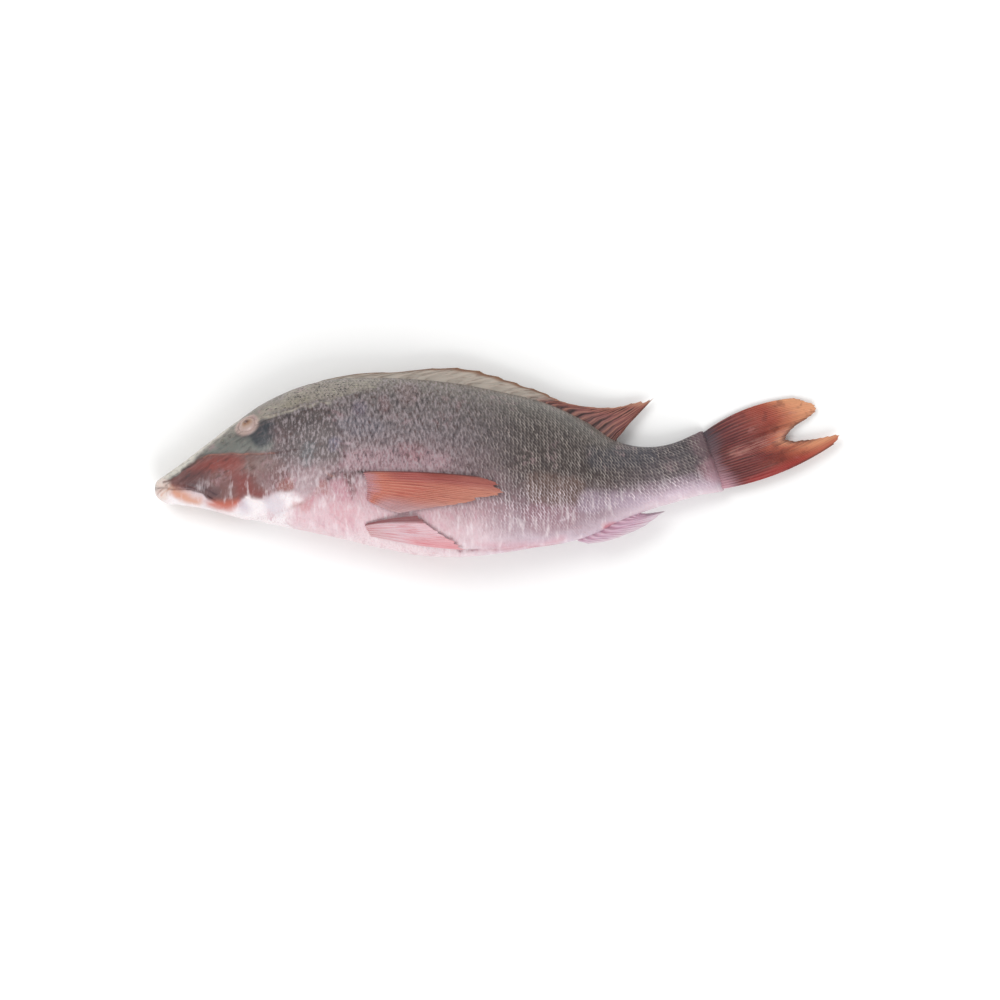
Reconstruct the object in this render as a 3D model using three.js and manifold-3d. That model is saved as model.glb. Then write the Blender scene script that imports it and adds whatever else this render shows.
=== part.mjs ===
// A whole raw snapper lying on its right side, in millimetres, +Z up.
// The head points to -X, the tail to +X, the back to +Y and the left flank up.
// The origin is under the middle of the fish, on the surface that it lies on.
//
// The fish is drawn straight first, in its own frame: x runs from the snout to the tail, h rises
// from the axis to the back, and w leaves the middle plane towards the left flank. settle() then
// bends the tail, rolls the fish and lays it down.
import * as THREE from 'three';
import { LoftGeometry } from 'three/addons/geometries/LoftGeometry.js';
import { mergeVertices } from 'three/addons/utils/BufferGeometryUtils.js';
import Module from 'manifold-3d';

// Body
const BODY_LENGTH = 341; // snout to the root of the tail fin
const HEAD_LENGTH = 120; // snout to the hind edge of the gill cover
const BODY_DEPTH = 108; // back to belly at the deepest place
const BODY_WIDTH = 54; // flank to flank at the widest place
const PEDUNCLE_DEPTH = 35; // back to belly at the wrist of the tail
const PEDUNCLE_WIDTH = 16; // flank to flank at the wrist of the tail

// Eyes
const EYE_DIAMETER = 14.4; // whole eyeball
const EYE_DEPTH = 9; // eyeball, from cornea to back
const EYE_SINK = 3.2; // centre of the eyeball below the skin
const EYE_BELOW_BACK = 9.4; // centre of the eye below the outline of the head

// Fins
const TAIL_LENGTH = 77; // root to the tip of the longer lobe
const TAIL_SPREAD = 42; // between the outer edges of the two lobes
const SPINE_LENGTH = 26; // longest folded spine of the dorsal fin
const SOFT_RAY_LENGTH = 48; // longest soft ray of the dorsal fin
const ANAL_RAY_LENGTH = 27; // longest ray of the anal fin
const PECTORAL_LENGTH = 84; // root to the tip of the longest ray
const PECTORAL_ROOT = 16; // width of its fleshy root
const PECTORAL_ABOVE_PELVIC = 19.6; // between the lower ends of the two roots
const PELVIC_LENGTH = 63; // root to the tip of the outer ray
const PELVIC_ROOT = 5; // width of its root
const PELVIC_ABOVE_BELLY = 4; // lower end of its root above the belly's outline
const RAY_THICKNESS = 1.8; // at the root
const MARGIN_THICKNESS = 0.8; // at the free edge
const MEMBRANE_SHARE = 0.6; // thickness of the skin between two rays, against the rays
const ROOT_DEPTH = 2.5; // how deep a fin is rooted in the flesh

// Pose
const ROLL = (9 * Math.PI) / 180; // belly turned up
const TAIL_BEND = (19 * Math.PI) / 180; // towards the back
const BEND_LENGTH = 60; // stretch of the tail's wrist that bends
const SAG = 3; // flattening of the flank that carries the weight
const TAIL_TIP_HEIGHT = 4.5; // middle plane of the tail fin above the surface, at its tip

const CLEARANCE = 0.35; // between the body and what is rooted in it
const BACK_SHARPNESS = 1.1; // over 1 narrows the ridge of the back
const BELLY_SHARPNESS = 0.9; // under 1 rounds the belly

const RINGS_PER_LANDMARK = 2;
const RING_SIDES = 32;

const TRUNK_LENGTH = BODY_LENGTH - HEAD_LENGTH;
const EYE_X = 0.475 * HEAD_LENGTH;
const BEND_START = BODY_LENGTH - 1.3 * BEND_LENGTH;
const DORSAL_START = 0.79 * HEAD_LENGTH;
const DORSAL_END = HEAD_LENGTH + 0.73 * TRUNK_LENGTH;
const ANAL_START = HEAD_LENGTH + 0.605 * TRUNK_LENGTH;
const ANAL_END = HEAD_LENGTH + 0.77 * TRUNK_LENGTH;
const PAIRED_FINS_START = HEAD_LENGTH + 9;
const { clamp, degToRad, lerp } = THREE.MathUtils;

const wasm = await Module();
wasm.setup();

// ---------------------------------------------------------------- body shape

// A landmark is a cross-section: back and belly heights over the axis, half width, height of the
// widest place (as a share of the depth, from the belly), and the gap left under it at rest.
function landmark(x, depth, width, [back, belly, half, widest, gap]) {
	const level = lerp(belly, back, widest) * depth;
	return { x, back: back * depth, belly: belly * depth, half: (half * width) / 2, level, gap };
}
const onHead = (share, ...shape) => landmark(share * HEAD_LENGTH, BODY_DEPTH, BODY_WIDTH, shape);
const onTrunk = (share, ...shape) =>
	landmark(HEAD_LENGTH + share * TRUNK_LENGTH, BODY_DEPTH, BODY_WIDTH, shape);
const onPeduncle = (share, ...shape) =>
	landmark(HEAD_LENGTH + share * TRUNK_LENGTH, PEDUNCLE_DEPTH, PEDUNCLE_WIDTH, shape);

const LANDMARKS = [
	onHead(0.0, 0.004, -0.02, 0.08, 0.5, 9), // snout
	onHead(0.012, 0.038, -0.05, 0.2, 0.48, 8),
	onHead(0.06, 0.078, -0.085, 0.31, 0.46, 6.5), // chin
	onHead(0.14, 0.142, -0.096, 0.41, 0.44, 5),
	onHead(0.242, 0.231, -0.113, 0.52, 0.42, 3.5),
	onHead(0.385, 0.354, -0.146, 0.66, 0.42, 2), // before the eye
	onHead(0.55, 0.477, -0.19, 0.79, 0.42, 0), // behind the eye
	onHead(0.742, 0.573, -0.236, 0.91, 0.44, -0.6 * SAG), // nape
	onHead(0.933, 0.618, -0.278, 0.98, 0.46, -SAG), // gill cover
	onTrunk(0.077, 0.622, -0.333, 1.0, 0.48, -SAG),
	onTrunk(0.204, 0.609, -0.378, 0.99, 0.5, -SAG), // deepest place
	onTrunk(0.348, 0.567, -0.378, 0.92, 0.52, -SAG),
	onTrunk(0.52, 0.486, -0.329, 0.77, 0.54, -0.6 * SAG), // vent
	onTrunk(0.643, 0.37, -0.27, 0.61, 0.54, 0.5),
	onTrunk(0.729, 0.262, -0.186, 0.47, 0.54, 2.5),
	onPeduncle(0.815, 0.63, -0.46, 1.12, 0.5, 3.5),
	onPeduncle(0.905, 0.555, -0.445, 1.0, 0.5, 3),
	onPeduncle(0.968, 0.575, -0.5, 0.78, 0.5, 2.5),
	onPeduncle(0.99, 0.59, -0.53, 0.5, 0.5, 2.5),
	onPeduncle(1.0, 0.58, -0.52, 0.16, 0.5, 2.5), // root of the tail fin
];

// A point of a cross-section: turn is 0 on the back, a quarter turn on the left flank.
function ringPoint(section, turn) {
	const rise = Math.cos(turn);
	const side = Math.sin(turn);
	const reach = rise > 0 ? section.back - section.level : section.level - section.belly;
	const sharpness = rise > 0 ? BACK_SHARPNESS : BELLY_SHARPNESS;
	return {
		h: section.level + reach * rise,
		w: Math.sign(side) * section.half * Math.abs(side) ** sharpness,
	};
}
const ringTurns = Array.from({ length: RING_SIDES }, (_, i) => (i * 2 * Math.PI) / RING_SIDES);

// How far a cross-section reaches below the axis once the fish is rolled.
function lowestReach(section) {
	const drops = ringTurns.map((turn) => {
		const { h, w } = ringPoint(section, turn);
		return h * Math.sin(ROLL) - w * Math.cos(ROLL);
	});
	return Math.max(...drops);
}

// Two smooth curves run through the landmarks, with the same parameter.
const outlineCurve = new THREE.CatmullRomCurve3(
	LANDMARKS.map(({ x, back, belly }) => new THREE.Vector3(x, back, belly)),
	false,
	'catmullrom',
);
const girthCurve = new THREE.CatmullRomCurve3(
	LANDMARKS.map((s) => new THREE.Vector3(s.half, s.level, s.gap + lowestReach(s))),
	false,
	'catmullrom',
);

function sectionAt(t) {
	const outline = outlineCurve.getPoint(t);
	const girth = girthCurve.getPoint(t);
	return {
		x: outline.x,
		back: outline.y,
		belly: outline.z,
		half: girth.x,
		level: girth.y,
		axisHeight: girth.z,
	};
}

// The cross-section at a distance x from the snout.
function sectionAtX(x) {
	let low = 0;
	let high = 1;
	for (let i = 0; i < 30; i++) {
		const middle = (low + high) / 2;
		if (outlineCurve.getPoint(middle).x < x) low = middle;
		else high = middle;
	}
	return sectionAt(low);
}

// Distance of the skin from the middle plane.
function skin(x, h) {
	const section = sectionAtX(x);
	const above = h > section.level;
	const reach = above ? section.back - section.level : section.level - section.belly;
	const rise = clamp(Math.abs(h - section.level) / reach, 0, 1);
	return section.half * Math.sqrt(1 - rise * rise) ** (above ? BACK_SHARPNESS : BELLY_SHARPNESS);
}

// ---------------------------------------------------------------- pose

function axisHeight(x) {
	const beyond = clamp((x - BODY_LENGTH) / TAIL_LENGTH, 0, 1);
	return lerp(sectionAtX(Math.min(x, BODY_LENGTH)).axisHeight, TAIL_TIP_HEIGHT, beyond);
}

// From the straight fish to the fish as it lies, before it settles on the surface.
function lay(x, h, w, height = axisHeight(x)) {
	const up = h * Math.cos(ROLL) + w * Math.sin(ROLL);
	const radius = BEND_LENGTH / TAIL_BEND;
	const bend = clamp((x - BEND_START) / radius, 0, TAIL_BEND);
	const ahead = Math.max(x - BEND_START - BEND_LENGTH, 0);
	const start = Math.min(x, BEND_START);
	return new THREE.Vector3(
		start + (radius - up) * Math.sin(bend) + ahead * Math.cos(bend),
		radius - (radius - up) * Math.cos(bend) + ahead * Math.sin(bend),
		height + w * Math.cos(ROLL) - h * Math.sin(ROLL),
	);
}

// The same, with nothing lower than a floor level.
function settle(x, h, w, height, floor = 0) {
	const point = lay(x, h, w, height);
	point.z = Math.max(point.z, floor);
	return point;
}

// ---------------------------------------------------------------- solids

function toSolid(geometry) {
	const bare = new THREE.BufferGeometry();
	bare.setAttribute('position', geometry.attributes.position);
	bare.setIndex(geometry.index);
	const merged = mergeVertices(bare);
	return new wasm.Manifold(
		new wasm.Mesh({
			numProp: 3,
			vertProperties: merged.attributes.position.array,
			triVerts: new Uint32Array(merged.index.array),
		}),
	);
}

function toGeometry(solid) {
	const mesh = solid.getMesh();
	const geometry = new THREE.BufferGeometry();
	geometry.setAttribute('position', new THREE.BufferAttribute(mesh.vertProperties, 3));
	geometry.setIndex(new THREE.BufferAttribute(mesh.triVerts, 1));
	geometry.computeVertexNormals();
	return geometry;
}

function bodyGeometry() {
	const rings = RINGS_PER_LANDMARK * (LANDMARKS.length - 1);
	const sections = Array.from({ length: rings + 1 }, (_, i) => {
		const section = sectionAt(i / rings);
		return ringTurns.map((turn) => {
			const { h, w } = ringPoint(section, turn);
			return settle(section.x, h, w, section.axisHeight);
		});
	});
	return new LoftGeometry(sections, { capStart: true, capEnd: true });
}

// The points once round the edge of a grid.
function rimOf(grid) {
	const inner = grid.slice(1, -1);
	return [
		...grid[0],
		...inner.map((line) => line.at(-1)),
		...grid.at(-1).toReversed(),
		...inner.map((line) => line[0]).reverse(),
	];
}

// A closed plate between an upper and a lower grid of points.
function plateGeometry(upper, lower) {
	const corners = [];
	const quad = (a, b, c, d) => corners.push(a, b, c, a, c, d);
	for (let i = 1; i < upper.length; i++) {
		for (let j = 1; j < upper[i].length; j++) {
			quad(upper[i - 1][j - 1], upper[i - 1][j], upper[i][j], upper[i][j - 1]);
			quad(lower[i - 1][j - 1], lower[i][j - 1], lower[i][j], lower[i - 1][j]);
		}
	}
	const high = rimOf(upper);
	const low = rimOf(lower);
	high.forEach((point, i) => {
		const next = (i + 1) % high.length;
		quad(low[i], low[next], high[next], point);
	});
	const geometry = mergeVertices(new THREE.BufferGeometry().setFromPoints(corners));
	geometry.computeVertexNormals();
	return geometry;
}

// A fin is a thin plate: middle(u, v) gives its middle surface, with u across the rays and v along
// them. Each ray is a ridge with thinner skin beside it. A grown fin is larger all round, and is
// cut from the body to leave room for the fin itself.
function finGeometry({ middle, rays, rows }, grow = 0) {
	const columns = 2 * rays;
	const grid = [];
	for (let i = 0; i <= columns; i++) {
		const line = [];
		for (let j = 0; j <= rows; j++) {
			const thickness = lerp(RAY_THICKNESS, MARGIN_THICKNESS, (j / rows) ** 2);
			const half = (thickness * (i % 2 ? MEMBRANE_SHARE : 1)) / 2;
			const { x, h, w } = middle(i / columns, j / rows);
			const point = settle(x, h, w, undefined, half);
			point.half = half + grow;
			line.push(point);
		}
		grid.push(line);
	}
	if (grow) growRim(grid, grow);
	const face = (side) =>
		grid.map((line) => line.map((p) => new THREE.Vector3(p.x, p.y, p.z + side * p.half)));
	return plateGeometry(face(1), face(-1));
}

// Moves the rim of a plate outwards along its own surface.
function growRim(grid, distance) {
	const push = (point, inner) => point.add(point.clone().sub(inner).setLength(distance));
	const rimPairs = (line) => [
		[line[0], line[1]],
		[line.at(-1), line.at(-2)],
	];
	const acrossRays = grid[0].map((_, j) => grid.map((line) => line[j]));
	for (const line of [...grid, ...acrossRays]) {
		for (const [point, inner] of rimPairs(line)) push(point, inner);
	}
}

// ---------------------------------------------------------------- fins

// A smooth run through rows of three numbers, for u from 0 to 1.
function smoothTable(rows) {
	const points = rows.map((row) => new THREE.Vector3(...row));
	const curve = new THREE.CatmullRomCurve3(points, false, 'catmullrom');
	return (u) => curve.getPoint(u).toArray();
}

// Slope of the body's back or belly outline at x.
function edgeSlope(edge, x) {
	const step = 4;
	return Math.atan((sectionAtX(x + step)[edge] - sectionAtX(x - step)[edge]) / (2 * step));
}

// A fin on the back or the belly. Each row of its table is the place of a ray's root, as a share of
// the fin's base, the ray's length, and how far it leans off the body's outline, in degrees.
function edgeFin({ edge, from, to, table, rays, rows }) {
	const look = smoothTable(table);
	const onBack = edge === 'back';
	const outwards = onBack ? 1 : -1;
	const middle = (u, v) => {
		const [share, length, lean] = look(onBack ? 1 - u : u);
		const x = lerp(from, to, share);
		const angle = edgeSlope(edge, x) + outwards * degToRad(lean);
		const sunk = ROOT_DEPTH * Math.max(0, 1 - rows * v);
		return {
			x: x + length * v * Math.cos(angle),
			h: sectionAtX(x)[edge] - outwards * sunk + length * v * Math.sin(angle),
			w: 0,
		};
	};
	return { middle, rays, rows };
}

// Low folded spines first, then the fanned soft rays.
const dorsalFin = edgeFin({
	edge: 'back',
	from: DORSAL_START,
	to: DORSAL_END,
	table: [
		[0.0, 0.3 * SPINE_LENGTH, 4],
		[0.11, 0.84 * SPINE_LENGTH, 6.5],
		[0.24, 0.97 * SPINE_LENGTH, 15],
		[0.38, SPINE_LENGTH, 22],
		[0.51, 0.9 * SPINE_LENGTH, 20.5],
		[0.64, 0.7 * SPINE_LENGTH, 20],
		[0.73, 0.5 * SPINE_LENGTH, 20],
		[0.77, 0.34 * SOFT_RAY_LENGTH, 20],
		[0.83, 0.56 * SOFT_RAY_LENGTH, 32],
		[0.88, 0.79 * SOFT_RAY_LENGTH, 40],
		[0.93, 0.94 * SOFT_RAY_LENGTH, 50],
		[0.965, SOFT_RAY_LENGTH, 55],
		[0.985, 0.48 * SOFT_RAY_LENGTH, 57],
		[1.0, 0.2 * SOFT_RAY_LENGTH, 62],
	],
	rays: 21,
	rows: 5,
});

const analFin = edgeFin({
	edge: 'belly',
	from: ANAL_START,
	to: ANAL_END,
	table: [
		[0.0, 0.32 * ANAL_RAY_LENGTH, 30],
		[0.22, 0.67 * ANAL_RAY_LENGTH, 22],
		[0.45, 0.93 * ANAL_RAY_LENGTH, 25],
		[0.68, ANAL_RAY_LENGTH, 20],
		[0.9, 0.52 * ANAL_RAY_LENGTH, 16],
		[1.0, 0.2 * ANAL_RAY_LENGTH, 24],
	],
	rays: 10,
	rows: 4,
});

// The tail fin: tips of the rays, from the lower lobe to the upper one, as distance behind the root
// in tail lengths and height in half spreads.
const TAIL_TIPS = [
	[0.98, -0.6],
	[1.0, -0.4],
	[0.84, -0.32],
	[0.72, -0.22],
	[0.6, -0.03],
	[0.7, 0.22],
	[0.81, 0.32],
	[0.91, 0.48],
	[0.88, 0.76],
	[0.77, 1.02],
];
const TAIL_BOW = 0.22; // bulge of the outer rays, in half spreads

function caudalFin() {
	const look = smoothTable(TAIL_TIPS.map(([along, across]) => [along, across, 0]));
	const root = sectionAtX(BODY_LENGTH);
	const halfSpread = TAIL_SPREAD / 2;
	const middle = (u, v) => {
		const [along, across] = look(u);
		const bow = TAIL_BOW * (2 * u - 1) * 4 * v * (1 - v);
		const start = lerp(0.92 * root.belly, 0.92 * root.back, u);
		return {
			x: BODY_LENGTH + lerp(-ROOT_DEPTH, along * TAIL_LENGTH, v),
			h: lerp(start, across * halfSpread, v) + bow * halfSpread,
			w: 0,
		};
	};
	return { middle, rays: 18, rows: 6 };
}

// A fin folded back against a flank. Its root runs from (x, h) up by the root's width; each row of
// its table is a ray's tip: distance behind the root, in fin lengths, and height above the root's
// lower end. The free part stands off the skin a little more towards its tip.
function flankFin({ side, x, h, rootWidth, rootLean, length, table, standOff, rays, rows }) {
	const look = smoothTable(table);
	const bottom = { x, h };
	const top = { x: x - rootLean, h: h + rootWidth };
	const middle = (u, v) => {
		const [along, height, bow] = look(u);
		const startX = lerp(bottom.x, top.x, u);
		const startH = lerp(bottom.h, top.h, u);
		const reachX = lerp(startX, bottom.x + along * length, v);
		const reachH = lerp(startH, h + height, v) + bow * 4 * v * (1 - v);
		const clear = RAY_THICKNESS / 2 + CLEARANCE + standOff * v;
		const sunk = (ROOT_DEPTH + clear) * Math.max(0, 1 - rows * v);
		return { x: reachX, h: reachH, w: side * (skin(reachX, reachH) + clear - sunk) };
	};
	return { middle, rays, rows };
}

const pelvicHeight = sectionAtX(PAIRED_FINS_START).belly + PELVIC_ABOVE_BELLY;

const pectoralFin = (side) =>
	flankFin({
		side,
		x: PAIRED_FINS_START,
		h: pelvicHeight + PECTORAL_ABOVE_PELVIC,
		rootWidth: PECTORAL_ROOT,
		rootLean: 5,
		length: PECTORAL_LENGTH,
		table: [
			[0.25, -8.4, -1],
			[0.43, -6, -1.5],
			[0.64, -3.5, -1],
			[0.85, 0, 0],
			[0.98, 4, 1],
			[0.95, 9, 1.5],
			[0.82, 13, 1.2],
		],
		standOff: 1.2,
		rays: 12,
		rows: 6,
	});

const pelvicFin = (side) =>
	flankFin({
		side,
		x: PAIRED_FINS_START,
		h: pelvicHeight,
		rootWidth: PELVIC_ROOT,
		rootLean: 2,
		length: PELVIC_LENGTH,
		table: [
			[1.0, -9, -2],
			[0.86, -5, -1],
			[0.72, -0.5, 0],
			[0.6, 5, 0],
			[0.5, 9.5, 1],
		],
		standOff: 2,
		rays: 6,
		rows: 6,
	});

// ---------------------------------------------------------------- eyes

// A flattened ball whose short axis follows the skin's slope.
function eyeGeometry(side, grow = 0) {
	const height = sectionAtX(EYE_X).back - EYE_BELOW_BACK;
	const onSkin = (dx, dh) =>
		lay(EYE_X + dx, height + dh, side * skin(EYE_X + dx, height + dh));
	const centre = onSkin(0, 0);
	const along = onSkin(1, 0).sub(onSkin(-1, 0));
	const up = onSkin(0, 1).sub(onSkin(0, -1));
	const outwards = along.cross(up).normalize().multiplyScalar(side);
	const turn = new THREE.Quaternion().setFromUnitVectors(new THREE.Vector3(0, 0, 1), outwards);
	const geometry = new THREE.SphereGeometry(1, 18, 12);
	geometry.rotateX(Math.PI / 2);
	const radius = EYE_DIAMETER / 2 + grow;
	geometry.scale(radius, radius, EYE_DEPTH / 2 + grow);
	geometry.applyQuaternion(turn);
	centre.addScaledVector(outwards, -EYE_SINK);
	return geometry.translate(...centre);
}

// ---------------------------------------------------------------- the fish

const material = (color, roughness) =>
	new THREE.MeshStandardMaterial({ color, roughness, metalness: 0, side: THREE.DoubleSide });

const LEFT = 1;
const RIGHT = -1;
const fin = (name, shape, color) => ({ name, color, make: (grow) => finGeometry(shape, grow) });
const eye = (name, side) => ({ name, color: 0x9e8984, make: (grow) => eyeGeometry(side, grow) });

const PIECES = [
	fin('dorsal_fin', dorsalFin, 0x92696a),
	fin('anal_fin', analFin, 0xd4b8ca),
	fin('caudal_fin', caudalFin(), 0x83524f),
	fin('pectoral_fin_left', pectoralFin(LEFT), 0xb36b67),
	fin('pectoral_fin_right', pectoralFin(RIGHT), 0xb36b67),
	fin('pelvic_fin_left', pelvicFin(LEFT), 0xd9c2c7),
	fin('pelvic_fin_right', pelvicFin(RIGHT), 0xd9c2c7),
	eye('eye_left', LEFT),
	eye('eye_right', RIGHT),
];

function fishBody() {
	let solid = toSolid(bodyGeometry());
	for (const { make } of PIECES) solid = solid.subtract(toSolid(make(CLEARANCE)));
	const body = new THREE.Mesh(toGeometry(solid), material(0x7c7274, 0.45));
	body.name = 'body';
	return body;
}

const lying = new THREE.Group();
lying.add(fishBody());
for (const { name, make, color } of PIECES) {
	const mesh = new THREE.Mesh(make(0), material(color, 0.5));
	mesh.name = name;
	lying.add(mesh);
}

const middlePoint = new THREE.Box3().setFromObject(lying).getCenter(new THREE.Vector3());
lying.position.set(-middlePoint.x, -middlePoint.y, 0);

const fish = new THREE.Group();
fish.name = 'raw_fish';
fish.add(lying);

export default fish;
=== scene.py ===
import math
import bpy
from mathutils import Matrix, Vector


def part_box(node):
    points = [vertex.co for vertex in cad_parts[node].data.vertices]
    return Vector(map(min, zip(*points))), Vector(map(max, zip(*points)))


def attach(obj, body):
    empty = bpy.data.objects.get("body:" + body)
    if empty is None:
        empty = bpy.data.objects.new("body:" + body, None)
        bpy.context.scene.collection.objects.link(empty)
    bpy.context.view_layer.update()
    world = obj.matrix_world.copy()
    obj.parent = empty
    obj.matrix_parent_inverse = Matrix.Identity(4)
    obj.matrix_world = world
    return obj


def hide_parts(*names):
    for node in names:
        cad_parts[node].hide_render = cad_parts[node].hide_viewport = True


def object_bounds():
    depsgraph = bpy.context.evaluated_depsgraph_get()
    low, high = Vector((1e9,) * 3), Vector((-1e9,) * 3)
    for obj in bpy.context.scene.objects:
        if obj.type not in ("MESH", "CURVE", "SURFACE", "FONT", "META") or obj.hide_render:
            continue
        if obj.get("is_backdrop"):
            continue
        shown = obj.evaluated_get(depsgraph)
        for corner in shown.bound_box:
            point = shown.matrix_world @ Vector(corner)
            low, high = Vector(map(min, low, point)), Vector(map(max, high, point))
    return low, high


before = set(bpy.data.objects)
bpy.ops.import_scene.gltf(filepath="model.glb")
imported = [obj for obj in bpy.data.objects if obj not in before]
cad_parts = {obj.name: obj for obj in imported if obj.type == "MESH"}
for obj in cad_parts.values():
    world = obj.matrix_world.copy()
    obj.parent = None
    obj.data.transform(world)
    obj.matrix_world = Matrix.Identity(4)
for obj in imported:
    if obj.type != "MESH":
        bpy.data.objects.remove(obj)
cad_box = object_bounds()

# The looks of a whole raw snapper that lies on its right side.
#
# Shapes are worked out in millimetres in the frame of the straight fish, as in the CAD model: x runs
# from the snout to the tail, h rises from the axis to the back, and w leaves the middle plane towards
# the left flank. lay() bends, rolls and lowers the fish, and to_frame() gives metres in the row frame.
from types import SimpleNamespace

import bpy
import numpy as np

MM = 0.001
LEFT = 1
RIGHT = -1

# Body, in millimetres
BODY_LENGTH = 341
HEAD_LENGTH = 120
BODY_DEPTH = 108
BODY_WIDTH = 54
PEDUNCLE_DEPTH = 35
PEDUNCLE_WIDTH = 16

# Eyes
EYE_DIAMETER = 14.4
EYE_DEPTH = 9
EYE_SINK = 3.2
EYE_BELOW_BACK = 9.4

# Fins
TAIL_LENGTH = 77
TAIL_SPREAD = 42
SPINE_LENGTH = 26
SOFT_RAY_LENGTH = 48
ANAL_RAY_LENGTH = 27
PECTORAL_LENGTH = 84
PECTORAL_ROOT = 16
PECTORAL_ABOVE_PELVIC = 19.6
PELVIC_LENGTH = 63
PELVIC_ROOT = 5
PELVIC_ABOVE_BELLY = 4
RAY_THICKNESS = 1.8
MARGIN_THICKNESS = 0.6
MEMBRANE_SHARE = 0.4  # thickness of the skin between two rays, against the rays
ROOT_DEPTH = 2.5

# Pose
ROLL = math.radians(9)
TAIL_BEND = math.radians(19)
BEND_LENGTH = 60
SAG = 3
TAIL_TIP_HEIGHT = 4.5

CLEARANCE = 0.35
BACK_SHARPNESS = 1.1
BELLY_SHARPNESS = 0.9
CAD_RINGS_PER_LANDMARK = 2
CAD_RING_SIDES = 32

TRUNK_LENGTH = BODY_LENGTH - HEAD_LENGTH
EYE_X = 0.475 * HEAD_LENGTH
BEND_START = BODY_LENGTH - 1.3 * BEND_LENGTH
DORSAL_START = 0.79 * HEAD_LENGTH
DORSAL_END = HEAD_LENGTH + 0.73 * TRUNK_LENGTH
ANAL_START = HEAD_LENGTH + 0.605 * TRUNK_LENGTH
ANAL_END = HEAD_LENGTH + 0.77 * TRUNK_LENGTH
PAIRED_FINS_START = HEAD_LENGTH + 9

# The stem thins to this share of its width where the tail fin's root takes over
STEM_THINS = (320, 337)
STEM_END_SHARE = 0.6
TAIL_ROOT_SHARE = 0.92  # height of the tail fin's root against the stem's end

# Soft lid round the eye, as distances from the eye's axis
SOCKET_RIM = (4.5, 5.4)
LID_RADIUS = 6.6
LID_WIDTH = 1.5
LID_HEIGHT = 0.5
# PALE_RING: the skin is painted lighter inside it, painted light against the shade in the groove round the
# eye
PALE_RING = (6.4, 9.4)

# Looks
BLACK = (0, 0, 0, 1)
WHITE = (1, 1, 1, 1)
STUDIO_LIGHT = 1.08  # light that a face turned up sends back, against its base colour
SHEEN = 0.028  # light that the wet film adds to it

# Skin
SCALE_LENGTH = 2.3  # from one scale's free edge to the next along a row
SCALE_ROW = 2.4  # between neighbouring rows
SCALE_BULGE = 0.4  # how far a free edge bows out, in scale lengths
FRONT_SKEW = 0.3  # how far the lower end of a free edge trails behind the upper end, likewise
REAR_SKEW = 1.1
SCALE_RELIEF = 0.16
REAR_SKEW_FROM = (160, 260)  # where the scales' free edges change from the front skew to the rear one
BODY_STEP = 0.5  # between the rings of the skin
SNOUT_LENGTH = 4  # the rings are closer together in front of this
FLANK_COLUMNS = {LEFT: 250, RIGHT: 130}  # columns of the skin on the upper and the lower flank


# ---------------------------------------------------------------- curves and patterns

CURVE_STEPS = 5  # straight stretches to a point of a smooth line
FAR = 1e9
NOISE_CELLS = 256  # before the bumps repeat


def lerp(a, b, t):
    return a + (b - a) * t


def ramp(low, high, value):
    """0 below low, 1 above high and smooth between them."""
    t = np.clip((value - low) / (high - low), 0, 1)
    return t * t * (3 - 2 * t)


def bell(distance, width):
    return np.exp(-((distance / width) ** 2))


def smooth(rows, t):
    """Points at t, from 0 to 1, on the Catmull-Rom curve through some rows of numbers."""
    p = np.asarray(rows, float)
    p = np.vstack([2 * p[0] - p[1], p, 2 * p[-1] - p[-2]])
    at = np.clip(t, 0, 1) * (len(rows) - 1)
    i = np.minimum(at.astype(int), len(rows) - 2)
    s = (at - i)[..., None]
    a, b, c, d = (p[i + k] for k in range(4))
    start, end = (c - a) / 2, (d - b) / 2
    return b + s * start + s**2 * (3 * (c - b) - 2 * start - end) + s**3 * (2 * (b - c) + start + end)


def noise(x, y, seed):
    """Smooth bumps from -1 to 1 over a plane, about one to a unit."""
    heights = np.random.default_rng(seed).uniform(-1, 1, (NOISE_CELLS, NOISE_CELLS))
    i, j = np.floor(x).astype(int), np.floor(y).astype(int)
    u, v = ramp(0, 1, x - i), ramp(0, 1, y - j)
    corner = lambda di, dj: heights[(i + di) % NOISE_CELLS, (j + dj) % NOISE_CELLS]
    return lerp(lerp(corner(0, 0), corner(1, 0), u), lerp(corner(0, 1), corner(1, 1), u), v)


def stretches(x, y, line):
    """Each straight stretch of a line: its start, its direction, and how far points are off it."""
    for (ax, ay), (bx, by) in zip(line, line[1:]):
        dx, dy = bx - ax, by - ay
        along = np.clip(((x - ax) * dx + (y - ay) * dy) / (dx * dx + dy * dy), 0, 1)
        yield (ax, ay), (bx, by), (dx, dy), (x - ax - along * dx, y - ay - along * dy)


def beside(x, y, points):
    """Distance to the smooth line through some points, negative on the right of its direction."""
    line = smooth(points, np.linspace(0, 1, CURVE_STEPS * len(points)))
    nearest = np.full(np.shape(x), FAR)
    signed = np.zeros(np.shape(x))
    for _, _, (dx, dy), (px, py) in stretches(x, y, line):
        distance = np.hypot(px, py)
        signed = np.where(distance < nearest, np.where(dx * py < dy * px, -distance, distance), signed)
        nearest = np.minimum(distance, nearest)
    return signed


def stroke(x, y, points, width):
    """1 on a smooth line through some points, fading over a width on both sides."""
    return bell(beside(x, y, points), width)


def zone(x, y, corners, blur):
    """1 inside a smooth closed outline and 0 outside it, with a blurred edge."""
    closed = corners[-1:] + corners + corners[:2]
    share = 1 / (len(closed) - 1)
    outline = smooth(closed, np.linspace(share, 1 - share, CURVE_STEPS * len(corners) + 1))
    inside = np.zeros(np.shape(x), bool)
    nearest = np.full(np.shape(x), FAR)
    for (ax, ay), (_, by), (dx, dy), off in stretches(x, y, outline):
        nearest = np.minimum(nearest, np.hypot(*off))
        if dy:
            inside ^= ((ay > y) != (by > y)) & (x < dx * (y - ay) / dy + ax)
    return ramp(-blur, blur, np.where(inside, nearest, -nearest))


# ---------------------------------------------------------------- body shape


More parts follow.
